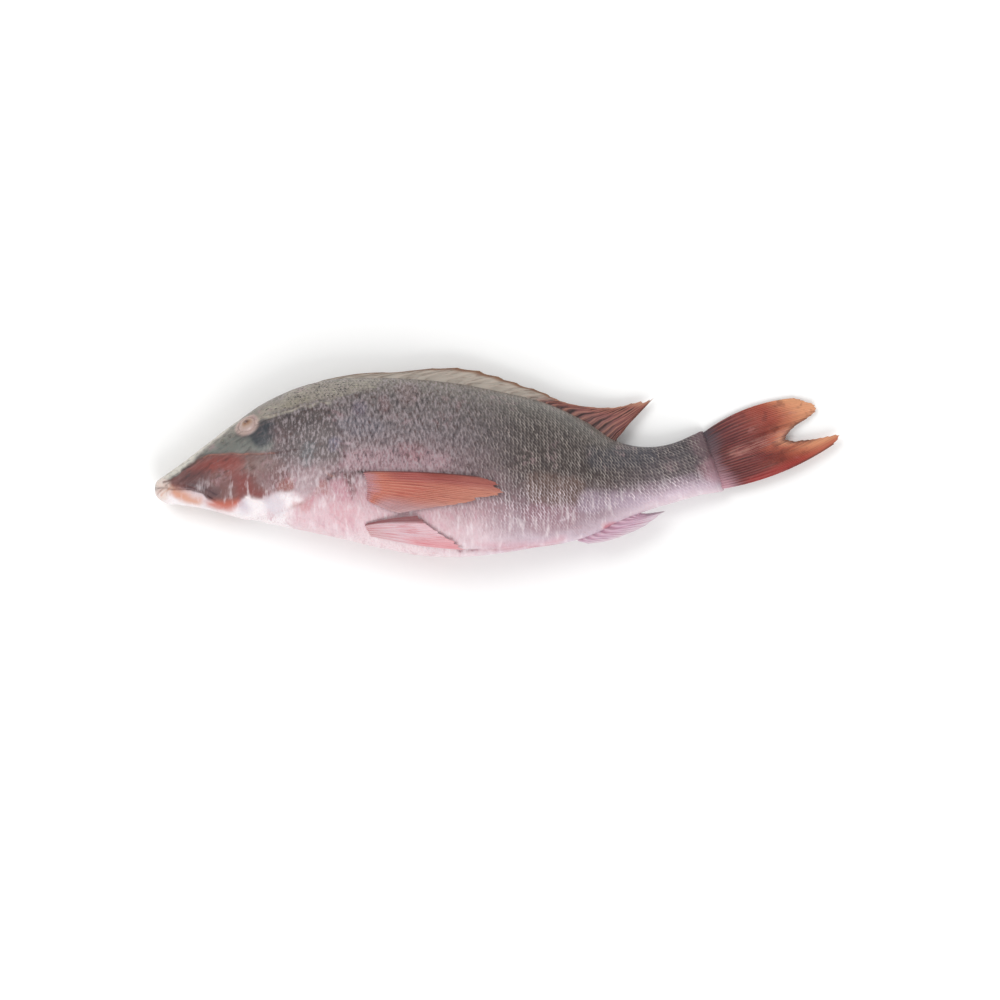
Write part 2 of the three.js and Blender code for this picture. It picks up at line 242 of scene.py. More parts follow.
def landmarks(start, length, depth, width, rows):
    """Cross-sections: x, heights of back and belly, half width, height of the widest place, gap."""
    made = []
    for share, back, belly, half, widest, gap in rows:
        level = lerp(belly, back, widest) * depth
        made.append((start + share * length, back * depth, belly * depth, half * width / 2, level, gap))
    return made


HEAD_ROWS = [
    (0.0, 0.004, -0.02, 0.08, 0.5, 9),
    (0.012, 0.038, -0.05, 0.2, 0.48, 8),
    (0.06, 0.078, -0.085, 0.31, 0.46, 6.5),
    (0.14, 0.142, -0.096, 0.41, 0.44, 5),
    (0.242, 0.231, -0.113, 0.52, 0.42, 3.5),
    (0.385, 0.354, -0.146, 0.66, 0.42, 2),
    (0.55, 0.477, -0.19, 0.79, 0.42, 0),
    (0.742, 0.573, -0.236, 0.91, 0.44, -0.6 * SAG),
    (0.933, 0.618, -0.278, 0.98, 0.46, -SAG),
]
TRUNK_ROWS = [
    (0.077, 0.622, -0.333, 1.0, 0.48, -SAG),
    (0.204, 0.609, -0.378, 0.99, 0.5, -SAG),
    (0.348, 0.567, -0.378, 0.92, 0.52, -SAG),
    (0.52, 0.486, -0.329, 0.77, 0.54, -0.6 * SAG),
    (0.643, 0.37, -0.27, 0.61, 0.54, 0.5),
    (0.729, 0.262, -0.186, 0.47, 0.54, 2.5),
]
PEDUNCLE_ROWS = [
    (0.815, 0.63, -0.46, 1.12, 0.5, 3.5),
    (0.905, 0.555, -0.445, 1.0, 0.5, 3),
    (0.968, 0.575, -0.5, 0.78, 0.5, 2.5),
    (0.99, 0.59, -0.53, 0.5, 0.5, 2.5),
    (1.0, 0.58, -0.52, 0.16, 0.5, 2.5),
]
LANDMARKS = np.array(
    landmarks(0, HEAD_LENGTH, BODY_DEPTH, BODY_WIDTH, HEAD_ROWS)
    + landmarks(HEAD_LENGTH, TRUNK_LENGTH, BODY_DEPTH, BODY_WIDTH, TRUNK_ROWS)
    + landmarks(HEAD_LENGTH, TRUNK_LENGTH, PEDUNCLE_DEPTH, PEDUNCLE_WIDTH, PEDUNCLE_ROWS)
)
FIELDS = ("x", "back", "belly", "half", "level", "axis_height")


def ring_point(section, turn):
    """Height and side of a cross-section's skin: turn is 0 on the back and pi on the belly."""
    rise, side = np.cos(turn), np.sin(turn)
    reach = np.where(rise > 0, section.back - section.level, section.level - section.belly)
    sharpness = np.where(rise > 0, BACK_SHARPNESS, BELLY_SHARPNESS)
    return section.level + reach * rise, np.sign(side) * section.half * np.abs(side) ** sharpness


def lowest_reach(section):
    """How far a cross-section reaches below the axis once the fish is rolled."""
    h, w = ring_point(section, np.linspace(0, 2 * math.pi, CAD_RING_SIDES, endpoint=False))
    return np.max(h * math.sin(ROLL) - w * math.cos(ROLL))


def axis_rows():
    """The landmarks with the height of the axis in place of the gap under them."""
    rows = LANDMARKS.copy()
    for row in rows:
        row[-1] += lowest_reach(SimpleNamespace(**dict(zip(FIELDS, row))))
    return rows


PROFILE = smooth(axis_rows(), np.linspace(0, 1, 8001)).T


def section_at(x):
    """The cross-section at a distance x from the snout."""
    return SimpleNamespace(**{name: np.interp(x, PROFILE[0], row) for name, row in zip(FIELDS, PROFILE)})


def skin(x, h):
    """Distance of the skin from the middle plane."""
    section = section_at(x)
    above = h > section.level
    reach = np.where(above, section.back - section.level, section.level - section.belly)
    rise = np.clip(np.abs(h - section.level) / reach, 0, 1)
    return section.half * np.sqrt(1 - rise**2) ** np.where(above, BACK_SHARPNESS, BELLY_SHARPNESS)


def lay(x, h, w):
    """From the straight fish to the fish as it lies."""
    beyond = np.clip((x - BODY_LENGTH) / TAIL_LENGTH, 0, 1)
    height = lerp(section_at(np.minimum(x, BODY_LENGTH)).axis_height, TAIL_TIP_HEIGHT, beyond)
    up = h * math.cos(ROLL) + w * math.sin(ROLL)
    radius = BEND_LENGTH / TAIL_BEND
    bend = np.clip((x - BEND_START) / radius, 0, TAIL_BEND)
    ahead = np.maximum(x - BEND_START - BEND_LENGTH, 0)
    start = np.minimum(x, BEND_START)
    along = start + (radius - up) * np.sin(bend) + ahead * np.cos(bend)
    across = radius - (radius - up) * np.cos(bend) + ahead * np.sin(bend)
    return np.stack([along, across, height + w * math.cos(ROLL) - h * math.sin(ROLL)], axis=-1)


def frame_shift():
    """From lay() to the row frame: the CAD body's rings are laid and matched to its box."""
    count = CAD_RINGS_PER_LANDMARK * (len(LANDMARKS) - 1) + 1
    rings = smooth(LANDMARKS, np.linspace(0, 1, count))[:, 0]
    turns = np.linspace(0, 2 * math.pi, CAD_RING_SIDES, endpoint=False)
    x = np.repeat(rings[:, None], CAD_RING_SIDES, axis=1)
    h, w = ring_point(section_at(x), turns[None, :])
    low = lay(x, h, w).reshape(-1, 3).min(axis=0)
    corner = np.array(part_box("body")[0]) / MM
    return np.array([corner[0] - low[0], corner[1] - low[1], 0])


SHIFT = frame_shift()


def to_frame(points):
    return (points + SHIFT) * MM


def above_surface(points, floor):
    """The points with none under a floor level, and with a soft bend where they meet it."""
    settled = points.copy()
    over = points[..., 2] - floor
    settled[..., 2] = floor + (over + np.sqrt(over**2 + 0.6)) / 2
    return settled


def normals_of(points):
    """Unit normals of a grid of points, out of the face that its two directions turn about."""
    across = np.cross(np.gradient(points, axis=0), np.gradient(points, axis=1))
    return across / np.maximum(np.linalg.norm(across, axis=-1, keepdims=True), 1e-9)


# ---------------------------------------------------------------- meshes


def grid_faces(rows, columns, closed):
    """Quads between the rows of a grid; a closed grid joins its last column to its first."""
    index = np.arange(rows * columns).reshape(rows, columns)
    if closed:
        index = np.hstack([index, index[:, :1]])
    quads = [index[:-1, :-1], index[1:, :-1], index[1:, 1:], index[:-1, 1:]]
    return np.stack(quads, axis=-1).reshape(-1, 4).tolist()


def tube_faces(rows, columns):
    """The quads of a closed grid, and one face over each end."""
    last = rows * columns - 1
    return grid_faces(rows, columns, closed=True) + [
        list(range(columns)),
        list(range(last, last - columns, -1)),
    ]


def add_object(name, data):
    made = bpy.data.objects.new(name, data)
    bpy.context.scene.collection.objects.link(made)
    return made


def make_piece(name, points, faces, attributes, material, nodes):
    """A smooth mesh in the row frame that stands for some CAD nodes. Attributes go to its material."""
    mesh = bpy.data.meshes.new(name)
    mesh.from_pydata(to_frame(points).tolist(), [], faces)
    mesh.polygons.foreach_set("use_smooth", [True] * len(mesh.polygons))
    for key, values in attributes.items():
        vector = np.ndim(values) > 1
        attribute = mesh.attributes.new(key, "FLOAT_VECTOR" if vector else "FLOAT", "POINT")
        attribute.data.foreach_set("vector" if vector else "value", np.ravel(values).astype(np.float32))
    mesh.materials.append(material)
    mesh.validate()
    piece = add_object(name, mesh)
    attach(piece, "root")
    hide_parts(*nodes)
    return piece


# ---------------------------------------------------------------- skin

# Lines and outlines on a flank are (x, y) points: y is the height over the axis as seen from above,
# once the fish is rolled. They hold for both flanks.
GAPE = [(1.5, 0.3), (7.8, 0), (23.4, -1.8), (30, -3.6), (37.8, -4.8)]
UPPER_LIP = [(1, 2.2), (7.8, 2.6), (16, 2.2), (24, 0.8), (32, -1.4)]
LOWER_LIP = [(2, -2.2), (9, -3.2), (22, -5), (30, -6.8), (38, -8)]
MAXILLA = [(17, 6), (26, 5.4), (36, 2), (41.5, -3), (40.5, -7), (36, -7.4), (30, -3), (20, 1)]
PREORBITAL = [(15, 10), (22, 14), (30, 18), (38, 20.2), (50, 20.8), (62, 20), (74, 20.6), (84, 22)]
PREOPERCLE = [(79, 40), (82, 27), (82.5, 12), (80, 0), (73, -6.6), (60, -9.5), (47, -11)]
GILL_COVER = [(103, 51), (109, 43), (114.5, 32), (117, 22), (115, 14), (109, 8), (104, 2), (99, -3.4),
              (92, -8), (84, -12), (70.8, -15), (56, -17.6), (42, -17.4)]
CHEEK_GROOVE = [(60, 12), (68, 6), (72, -1), (68, -7)]
NAPE_FOLD = [(62, 39), (68, 42.4), (76, 44.6), (86, 46.6), (96, 49), (108, 51.4), (124, 56)]
JAW_SEAM = [(12, -9.5), (24, -11.5), (38, -13.2), (52, -15.2)]
THROAT_FOLDS = [
    [(44, -20), (60, -21.5), (78, -23), (96, -27)],
    [(60, -17.6), (76, -18), (92, -19), (104, -23)],
    [(92, -10), (104, -14), (116, -22), (124, -30)],
]
BELLY_FOLD = [(150, -28), (169, -30.8), (176, -33.6), (184, -36.6), (196, -37.6), (214, -37), (244, -34)]
AXIL = [(120.5, 8), (122, 0), (124.5, -6)]
NOSTRILS = [(42.5, 28.2), (46.8, 31.0)]
NAPE_BAND = [(64, 41), (72, 45), (84, 48), (96, 50.6), (108, 53), (120, 56.4), (134, 60), (136, 66),
             (112, 66), (96, 64), (84, 60), (74, 52), (66, 46)]

# Tones on the skin, laid one over another: outline in the millimetres above, blur, tone from 0 to 255,
# strength
PATCHES = [
    # forehead and nape
    # Pale band along the top of the head: partly the skin's own pale tone, partly a painted highlight that
    # keeps the edge light where the skin turns away from the light
    ([(0, 2), (8, 12), (20, 24), (34, 36), (48, 46), (58, 49), (52, 41.5), (46, 36.5), (40, 31.5),
      (34, 26.5), (29, 21.5), (24, 17), (18, 12.6), (10, 6), (5, 1)], 1.6, (220, 215, 204), 0.9),
    ([(29, 20.5), (34, 25.5), (42, 32), (50, 38), (51, 33), (44, 28), (38, 23.5)],
     1.5, (142, 140, 130), 0.8),
    ([(30, 20.5), (36, 25), (44, 30), (52, 32), (60, 31), (70, 34), (74, 28), (72, 22), (60, 20.8),
      (44, 21)], 2.0, (122, 125, 119), 0.85),
    # Painted shade: a dark blue-grey patch behind the eye
    ([(58, 31), (62, 34), (68, 40), (75, 38), (74, 30), (70, 26), (63, 25)], 2.6, (58, 63, 69), 0.95),
    (NAPE_BAND, 2.2, (164, 156, 144), 0.85),
    ([(78, 49), (84, 53), (92, 55), (94, 52), (86, 49.5)], 2.2, (142, 136, 112), 0.45),
    # Painted shade in the band under the nape's fold
    ([(84, 43.5), (96, 46.5), (108, 49), (111, 45), (104, 41.5), (92, 41)], 1.8, (90, 81, 79), 0.8),
    # cheek and gill cover
    ([(72, 34), (76, 38), (82, 34), (83, 20), (82, 6), (78, 0), (73, 4), (74, 20)],
     2.4, (106, 86, 88), 0.6),
    ([(91, 24), (95, 28), (99, 26), (99, 17), (95, 13), (91, 16)], 2.0, (106, 112, 116), 0.6),
    ([(107, 24), (108, 30), (113, 30), (114, 26), (110, 22)], 1.8, (126, 120, 146), 0.5),
    ([(86, 10), (96, 12), (106, 8), (104, 0), (98, -4), (88, -2)], 3.0, (164, 140, 144), 0.6),
    # front of the flank
    ([(121, 45), (122, 51), (128, 51), (129, 46), (125, 43)], 2.0, (124, 114, 134), 0.5),
    ([(112, 36), (118, 42), (132, 42), (140, 38), (138, 32), (124, 31)], 3.0, (116, 114, 124), 0.5),
    ([(118, 20), (130, 24), (146, 22), (160, 22), (176, 20), (176, 10), (150, 9), (130, 9), (118, 12)], 3.0,
     (186, 150, 158), 0.55),
    ([(136, 54), (142, 54), (143, 46), (138, 45)], 2.0, (140, 108, 110), 0.5),
    ([(148, 62), (158, 62), (160, 52), (150, 51)], 3.0, (142, 118, 118), 0.5),
    ([(150, 26), (158, 27), (166, 22), (158, 15), (152, 18)], 2.5, (168, 120, 126), 0.5),
    # jaw
    ([(9, 2.5), (14, 7.5), (18, 11.5), (24, 15.2), (30, 17.8), (37, 19.9), (46, 20.5), (56, 20.4), (62, 18),
      (64, 10), (66, 2), (72, -2), (72, -4.4), (67, -6.6), (62, -5.6), (59, -4), (56, -6), (52, -9),
      (46, -10.6), (40, -8.8), (37, -6.4), (30, -4.2), (24, -1.6), (17, 0.2)], 1.2, (128, 86, 82), 0.95),
    ([(56, 19), (68, 19.6), (78, 18), (84, 8), (86, 0), (78, -3), (70, -4), (62, 0), (58, 8)], 3.4,
     (124, 92, 90), 0.8),
    ([(36, 8), (46, 8), (52, 3), (50, -5), (44, -7), (37, -4), (34, 2)], 4.2, (124, 96, 94), 0.6),
    ([(58, 19), (72, 19), (74, 12), (66, 9), (58, 11)], 4.5, (124, 98, 92), 0.55),
    ([(22, 13), (30, 16), (40, 18.5), (52, 19), (56, 14), (50, 10), (42, 11), (34, 10), (26, 9)], 3.6,
     (142, 72, 66), 0.85),
    ([(50, 8), (56, 9), (62, 6), (64, -1), (74, -2.6), (70, -6.4), (62, -5), (58, -3.6), (52, -6), (51, 0)],
     4.6, (140, 76, 74), 0.7),
    ([(14, 4), (20, 9), (27, 12), (33, 11), (35, 4), (33, -2), (27, -3), (20, -0.5)],
     4.0, (92, 62, 64), 0.65),
    ([(22, 1.6), (32, 2), (41, -1), (42, -5), (36, -6), (28, -3.4)], 3.2, (96, 80, 84), 0.65),
    # throat and chin
    ([(4, -3), (10, -3), (14, -5.5), (20, -8.5), (28, -10.6), (36, -12.4), (46, -13.2), (54, -10.6),
      (58, -6),
      (60, -5), (67, -7.8), (74, -4.4), (84, -2.4), (92, -8), (86, -22), (70, -40), (20, -36), (0, -14)],
     3.0,
     (250, 243, 245), 0.92),
    ([(19, -2), (24, -3), (31, -5.4), (37, -7.6), (34, -9), (28, -8), (22, -5.4)],
     0.9, (226, 208, 212), 0.9),
    ([(9.5, 2), (13, 0.8), (18, -1.6), (23, -4), (29.5, -7.6), (28, -10.2), (20, -8.6), (14, -5.6),
      (10.5, -2)], 2.4, (216, 152, 122), 0.85),
    ([(33, -8.4), (38, -6.4), (42, -6.6), (48, -7.6), (54, -6.2), (54, -9.8), (48, -12.6), (40, -12.8),
      (34, -11)], 2.8, (202, 112, 94), 0.85),
    ([(77, -0.4), (79, 4.6), (85, 4.8), (86, 1.4), (83, -1)], 1.8, (164, 106, 96), 0.65),
    ([(55, -7), (59, -7), (61, -12), (56, -14.5), (53, -11)], 3.0, (188, 172, 188), 0.5),
    ([(70, -5), (78, -4), (80, -14), (72, -16), (69, -10)], 3.4, (190, 176, 192), 0.45),
    ([(-2, -6), (2, 4), (7, 5.4), (10.5, 3), (10.5, -3), (8, -8), (2, -9)], 2.4, (232, 212, 203), 0.85),
    # breast and belly
    ([(84, -12), (96, -14), (112, -14), (122, -12), (126, -26), (112, -30), (94, -30), (84, -22)], 3.0,
     (228, 196, 203), 0.7),
    ([(110, 3), (114, 5.4), (120, 4), (121, -3), (119, -8), (113, -7), (109.5, -2)],
     1.6, (200, 150, 160), 0.8),
    ([(87, -8), (93, -8.6), (98, -6), (97, -12), (90, -14)], 2.0, (204, 144, 148), 0.7),
    ([(102, 4), (106, 5), (107, -3), (103, -4)], 1.2, (168, 112, 108), 0.6),
    ([(108, -10), (120, -10), (126, -16), (120, -22), (110, -20)], 2.5, (214, 160, 168), 0.5),
    ([(196, -33), (222, -33), (246, -29), (244, -34), (214, -38)], 3.0, (216, 156, 168), 0.5),
    # rear of the flank
    ([(226, 8), (246, 7), (258, 4), (256, -9), (244, -10), (228, -9)], 3.0, (122, 99, 90), 0.6),
    ([(224, -12), (240, -10), (254, -12), (256, -20), (244, -26), (226, -26)], 3.0, (160, 124, 133), 0.6),
    ([(262, 24), (276, 24), (304, 22), (306, 13), (288, 11), (264, 12)], 3.0, (82, 82, 90), 0.6),
    ([(258, -2), (272, -3), (290, -5), (292, -12), (272, -14), (256, -13)], 3.0, (188, 168, 186), 0.5),
    ([(270, -22), (276, -21), (277, -24), (271, -25)], 1.6, (204, 118, 130), 0.8),
    # root of the tail fin
    ([(312, 26), (322, 38), (336, 42), (340, 30), (328, 22), (316, 20)], 2.4, (72, 64, 74), 0.7),
    ([(331, 22), (336, 24), (343, 24), (343, 4), (334, 4), (330, 10)], 3.4, (134, 106, 112), 0.6),
    ([(330, 0), (343, 3), (343, -10), (334, -10)], 3.4, (200, 150, 162), 0.5),
]

# Drawn lines: points, width, tone, strength
MARKS = [
    (GAPE, 0.5, (92, 54, 54), 0.6),
    (PREORBITAL[2:7], 0.4, (190, 128, 110), 0.55),
    (PREOPERCLE[:4], 1.4, (92, 80, 80), 0.2),
    (NAPE_FOLD[:6], 0.7, (184, 176, 158), 0.75),
    (GILL_COVER[5:10], 1.3, (168, 112, 106), 0.55),
    (GILL_COVER[:5], 1.4, (100, 88, 88), 0.2),
    ([(16.5, 11.2), (20, 13.2), (24.5, 15.4)], 0.8, (66, 44, 36), 0.85),
    ([(24.5, 15.4), (27, 17.4), (31, 19.4)], 0.5, (112, 92, 76), 0.6),
    ([(6.5, 3.2), (9.5, 4.4), (12.5, 5.8)], 0.7, (98, 60, 46), 0.8),
    ([(2.5, -3.4), (5, -0.6), (8, 1.8)], 0.6, (150, 104, 86), 0.7),
    ([(5, -5), (7, -2.4), (10, 0.4)], 0.6, (214, 150, 120), 0.7),
    ([(8.2, 1.6), (8.6, -2), (9.4, -5)], 0.5, (186, 140, 120), 0.6),
    ([(20, 0), (26, -1.4), (34, -3.6), (40, -6)], 0.35, (66, 52, 58), 0.75),
    ([(21, -1.2), (27, -3), (34, -5.2)], 0.35, (70, 56, 62), 0.7),
    ([(24, 0.6), (32, -1), (40, -3.4)], 0.35, (76, 60, 66), 0.6),
    ([(58, -4.6), (63, -7), (68, -9.4)], 0.5, (250, 242, 240), 0.8),
    ([(80, 58.5), (88, 60.8), (100, 62.4)], 0.6, (84, 68, 52), 0.6),
    # Painted shade in the pectoral fin's axil, above and in front of its root: the next two marks
    ([(107, 6.4), (113, 8.0), (119, 8.2), (128, 8.8)], 2.8, (70, 48, 46), 1.0),
    ([(118, 7), (121.4, 3), (122.6, -2)], 3.2, (104, 68, 68), 1.0),
    ([(121.4, -2), (121, -7)], 0.8, (150, 98, 108), 0.7),
    ([(104, 11), (107, 8.4), (111, 7)], 0.6, (176, 120, 104), 0.6),
    ([(111, 28.5), (114, 26.6), (118, 27), (122, 26.4)], 0.45, (192, 162, 172), 0.8),
    ([(111, 24), (116, 21), (121, 19)], 0.45, (186, 156, 166), 0.7),
    ([(245, -19), (250, -17), (254, -13)], 0.5, (214, 194, 205), 0.7),
    # The belly fold's dark red line: partly painted shade in the fold, partly the skin's own red there
    (BELLY_FOLD[1:5], 1.0, (132, 54, 72), 0.9),
    (BELLY_FOLD[4:], 0.9, (190, 112, 126), 0.5),
    ([(NOSTRILS[0][0] - 0.5, 27.8), (NOSTRILS[0][0] + 0.5, 28.6)], 0.9, (78, 72, 70), 0.8),
    ([(NOSTRILS[1][0] - 0.4, 30.7), (NOSTRILS[1][0] + 0.4, 31.3)], 0.7, (84, 78, 76), 0.7),
]


def section_lengths(x, columns):
    """Length round each section from the back, for the columns of one flank."""
    h, w = ring_point(section_at(x[:, None]), columns[None, :])
    steps = np.hypot(np.diff(h, axis=1), np.diff(w, axis=1))
    return np.concatenate([np.zeros((len(x), 1)), np.cumsum(steps, axis=1)], axis=1)


def lateral_line(x):
    """Length from the back down to the lateral line, as a share of a flank's length."""
    return lerp(0.2, 0.47, ramp(100, 330, x))


def scale_height(along, across, skew):
    """How high the free edge of a scale stands, from 0 just behind one edge to 1 on the next.

    Rows of scales are one unit apart and alternate, and each scale's hind edge is a skewed arc."""
    nearest = 1
    for offset in (0, 0.5):
        beside_row = across + offset - np.round(across + offset)
        edge = SCALE_BULGE * (1 - 4 * beside_row**2) + skew * beside_row
        nearest = np.minimum(nearest, 1 - (along + offset * (1 - skew) - edge) % 1)
    return 1 - nearest


class Skin:
    """The body's skin as a grid: rings from the snout to the tail, columns from the back round."""

    def __init__(self):
        fine = np.geomspace(0.05, 1, 14)[:-1] * SNOUT_LENGTH
        even = np.linspace(SNOUT_LENGTH, BODY_LENGTH, int(BODY_LENGTH / BODY_STEP))
        self.x_ring = np.concatenate([[0], fine, even])
        flanks = [self.flank(side) for side in (LEFT, RIGHT)]
        self.turn = np.concatenate([flanks[0][0][:-1], 2 * math.pi - flanks[1][0][:0:-1]])
        self.down = np.hstack([flanks[0][1][:, :-1], flanks[1][1][:, :0:-1]])
        self.x = np.repeat(self.x_ring[:, None], len(self.turn), axis=1)
        self.section = section_at(self.x)
        self.h, self.w = ring_point(self.section, self.turn[None, :])
        self.w = self.w * lerp(1, STEM_END_SHARE, ramp(*STEM_THINS, self.x))
        self.y = self.h * math.cos(ROLL) + np.abs(self.w) * math.sin(ROLL)
        self.tall = (self.h - self.section.belly) / (self.section.back - self.section.belly)
        lattice_warp = 0.12 * noise(self.x / 14, self.down / 14, 5)
        fine_warp = noise(self.x / 3, self.down / 3, 6)
        self.along = self.x / SCALE_LENGTH + lattice_warp + 0.28 * fine_warp
        self.across = self.down / (2 * SCALE_ROW) + lattice_warp + 0.09 * fine_warp
        self.skew = lerp(FRONT_SKEW, REAR_SKEW, ramp(*REAR_SKEW_FROM, self.x))
        self.behind_gill = beside(self.x, self.y, GILL_COVER)

    def flank(self, side):
        """The turns of a flank's columns, and their lengths below the lateral line at each ring."""
        turns = np.linspace(0, math.pi, FLANK_COLUMNS[side] + 1)
        lengths = section_lengths(self.x_ring, turns)
        line = lateral_line(self.x_ring)[:, None] * lengths[:, -1:]
        return turns, lengths - line

    def masks(self):
        x, y = self.x, self.y
        wander = 1.2 * noise(x / 5, y / 5, 11) + 0.6 * noise(x / 1.8, y / 1.8, 12)
        soft_x, soft_y = x + wander, y + 1.0 * noise(x / 6, y / 6, 13)
        trunk = ramp(-6, 4, self.behind_gill)
        cheek = ramp(62, 84, x) * ramp(-12, 0, y)
        wash, washed = self.washes(soft_x, soft_y)
        speckle = zone(soft_x, soft_y, NAPE_BAND, 2.4)
        return {
            "tall": self.tall,
            "x": x,
            "down": self.down,
            "wash": wash,
            "washed": washed,
            "speckle": speckle,
            "trunk": trunk,
            "bare": 1 - np.maximum(trunk, cheek),
            "streaky": np.maximum(cheek, trunk) * (1 - ramp(165, 230, x)) * (1 - 0.8 * speckle),
            "scaly": np.maximum(ramp(0.5, 3.5, self.behind_gill), 0.5 * cheek) * self.scaled_belly(),
            # where the skin round the eye is painted lighter, painted light against the shade in the groove
            # round the eyeball
            "socket": 1 - ramp(*PALE_RING, self.eye_distance()),
            "lattice": np.stack([self.along, self.across, self.skew], axis=-1),
        }

    def scaled_belly(self):
        """Scales fade to bare skin on the belly's keel and at the root of the tail fin."""
        return (0.2 + 0.8 * ramp(0.02, 0.26, self.tall)) * (1 - 0.7 * ramp(332, 340, self.x))

    def washes(self, x, y):
        """The patches and marks, laid one over another: their colour, and how far they cover."""
        colour, cover = np.zeros((*x.shape, 3)), np.zeros(x.shape)
        layers = [(zone, *patch) for patch in PATCHES] + [(stroke, *mark) for mark in MARKS]
        broken = 0.75 + 0.5 * noise(self.x / 2.4, self.y / 1.6, 14)
        for draw, outline, blur, seen, strength in layers:
            corners = np.array(outline)
            reach = 3 * blur + 2
            low, high = corners.min(axis=0) - reach, corners.max(axis=0) + reach
            near = (x > low[0]) & (x < high[0]) & (y > low[1]) & (y < high[1])
            painted = strength * draw(x[near], y[near], outline, blur)
            if draw is stroke:
                painted = np.clip(painted * broken[near], 0, 1)
            colour[near] = lerp(colour[near], np.array(tone(*seen)[:3]), painted[:, None])
            cover[near] = lerp(cover[near], 1, painted)
        return colour, cover

    def eye_distance(self):
        """Distance from the eye's axis, along the skin's slope."""
        centre_h = section_at(EYE_X).back - EYE_BELOW_BACK
        centre_w = skin(EYE_X, centre_h)
        return np.sqrt((self.x - EYE_X) ** 2 + (self.h - centre_h) ** 2 + (np.abs(self.w) - centre_w) ** 2)

    def relief(self, masks):
        """How far the skin stands out of the smooth body, in millimetres."""
        x, y, behind_gill = self.x, self.y, self.behind_gill
        scales = scale_height(self.along, self.across, self.skew) - 0.5
        raised = SCALE_RELIEF * scales * masks["scaly"]
        raised += 0.28 * noise(x / 24, self.down / 18, 21) + 0.1 * noise(x / 7, self.down / 6, 22)
        raised += 0.07 * noise(x / 1.9, self.down / 1.7, 23) * (1 - masks["scaly"])
        tubes = 0.7 + 0.3 * np.cos(2 * math.pi * self.along)
        raised += 0.14 * bell(self.down, 0.8) * masks["trunk"] * tubes
        raised += self.head_relief(x, y)
        raised += 0.8 * ramp(-20, -2, behind_gill) * (1 - ramp(-0.4, 1.2, behind_gill))
        raised -= 0.25 * bell(behind_gill - 1.3, 1.1)
        raised -= 0.7 * stroke(x, y, BELLY_FOLD, 1.0)
        raised += 0.8 * bell(beside(x, y, AXIL) + 5, 4) * ramp(-16, -6, y) * (1 - ramp(4, 12, y))
        return raised * ramp(0, 3, x)

    def head_relief(self, x, y):
        raised = 0.6 * stroke(x, y, UPPER_LIP, 1.6) + 0.5 * stroke(x, y, LOWER_LIP, 1.8)
        raised -= 0.9 * stroke(x, y, GAPE, 0.9) * (1 - ramp(24, 38, x))
        raised += 0.5 * zone(x, y, MAXILLA, 1.8)
        raised -= 0.6 * (1 - ramp(-0.6, 0.6, beside(x, y, PREORBITAL))) * stroke(x, y, PREORBITAL, 5)
        raised += 0.4 * bell(beside(x, y, PREOPERCLE) - 1.6, 2.2) - 0.3 * stroke(x, y, PREOPERCLE, 1.2)
        raised -= 0.2 * stroke(x, y, CHEEK_GROOVE, 1.8)
        raised += 0.5 * stroke(x, y, NAPE_FOLD, 0.9) - 0.5 * bell(beside(x, y, NAPE_FOLD) + 1.7, 1.1)
        raised -= 0.5 * stroke(x, y, JAW_SEAM, 0.9)
        for fold in THROAT_FOLDS:
            raised -= 0.6 * stroke(x, y, fold, 1.1)
        for nostril_x, nostril_y in NOSTRILS:
            reach = np.hypot(x - nostril_x, y - nostril_y)
            raised += 0.35 * bell(reach - 1.5, 0.6) - 0.9 * bell(reach, 0.9)
        return raised

    def socket(self):
        """Depth of the eye's socket, and the soft lid round it."""
        reach = self.eye_distance()
        radius = EYE_DIAMETER / 2 + CLEARANCE
        bowl = EYE_SINK + (EYE_DEPTH / 2 + CLEARANCE) * np.sqrt(np.clip(1 - (reach / radius) ** 2, 0, 1))
        return -bowl * (1 - ramp(*SOCKET_RIM, reach)) + LID_HEIGHT * bell(reach - LID_RADIUS, LID_WIDTH)

    def floor(self):
        """Level that the skin keeps above: the right pectoral fin lies between it and the surface."""
        behind = lambda share: PAIRED_FINS_START + share * PECTORAL_LENGTH
        ahead = PAIRED_FINS_START - 6
        spread = [
            (ahead, 8), (behind(0), -3), (behind(0.4), -11), (behind(0.9), -3),
            (behind(1.03), 7), (behind(0.8), 20), (behind(0.3), 24), (ahead, 20),
        ]
        outline = [(place, PECTORAL_BOTTOM + rise) for place, rise in spread]
        covered = zone(self.x, self.h, outline, 1.5) * (self.w < 0)
        return (RAY_THICKNESS + CLEARANCE) * covered

    def make(self):
        masks = self.masks()
        base = lay(self.x, self.h, self.w)
        out = -normals_of(base)
        relief = self.relief(masks) + self.socket()
        points = above_surface(base + out * relief[..., None], self.floor())
        faces = tube_faces(*self.x.shape)
        flat = {key: v.reshape(-1, 3) if v.ndim > 2 else v.ravel() for key, v in masks.items()}
        make_piece("fish_body", points.reshape(-1, 3), faces, flat, skin_material(), ["body"])


# ---------------------------------------------------------------- fins


def plate(grid, half):
    """Points and faces of a closed plate: the grid's middle surface, half its thickness each way."""
    offset = np.zeros_like(grid)
    offset[..., 2] = half
    rows, columns = half.shape
    sheet = np.array(grid_faces(rows, columns, closed=False))
    count = rows * columns
    index = np.arange(count).reshape(rows, columns)
    rim = np.concatenate([index[0], index[1:-1, -1], index[-1, ::-1], index[-2:0:-1, 0]])
    after = np.roll(rim, -1)
    wall = np.stack([rim, after, after + count, rim + count], axis=-1)
    points = np.concatenate([(grid + offset).reshape(-1, 3), (grid - offset).reshape(-1, 3)])
    return points, np.concatenate([sheet[:, ::-1], sheet + count, wall[:, ::-1]])


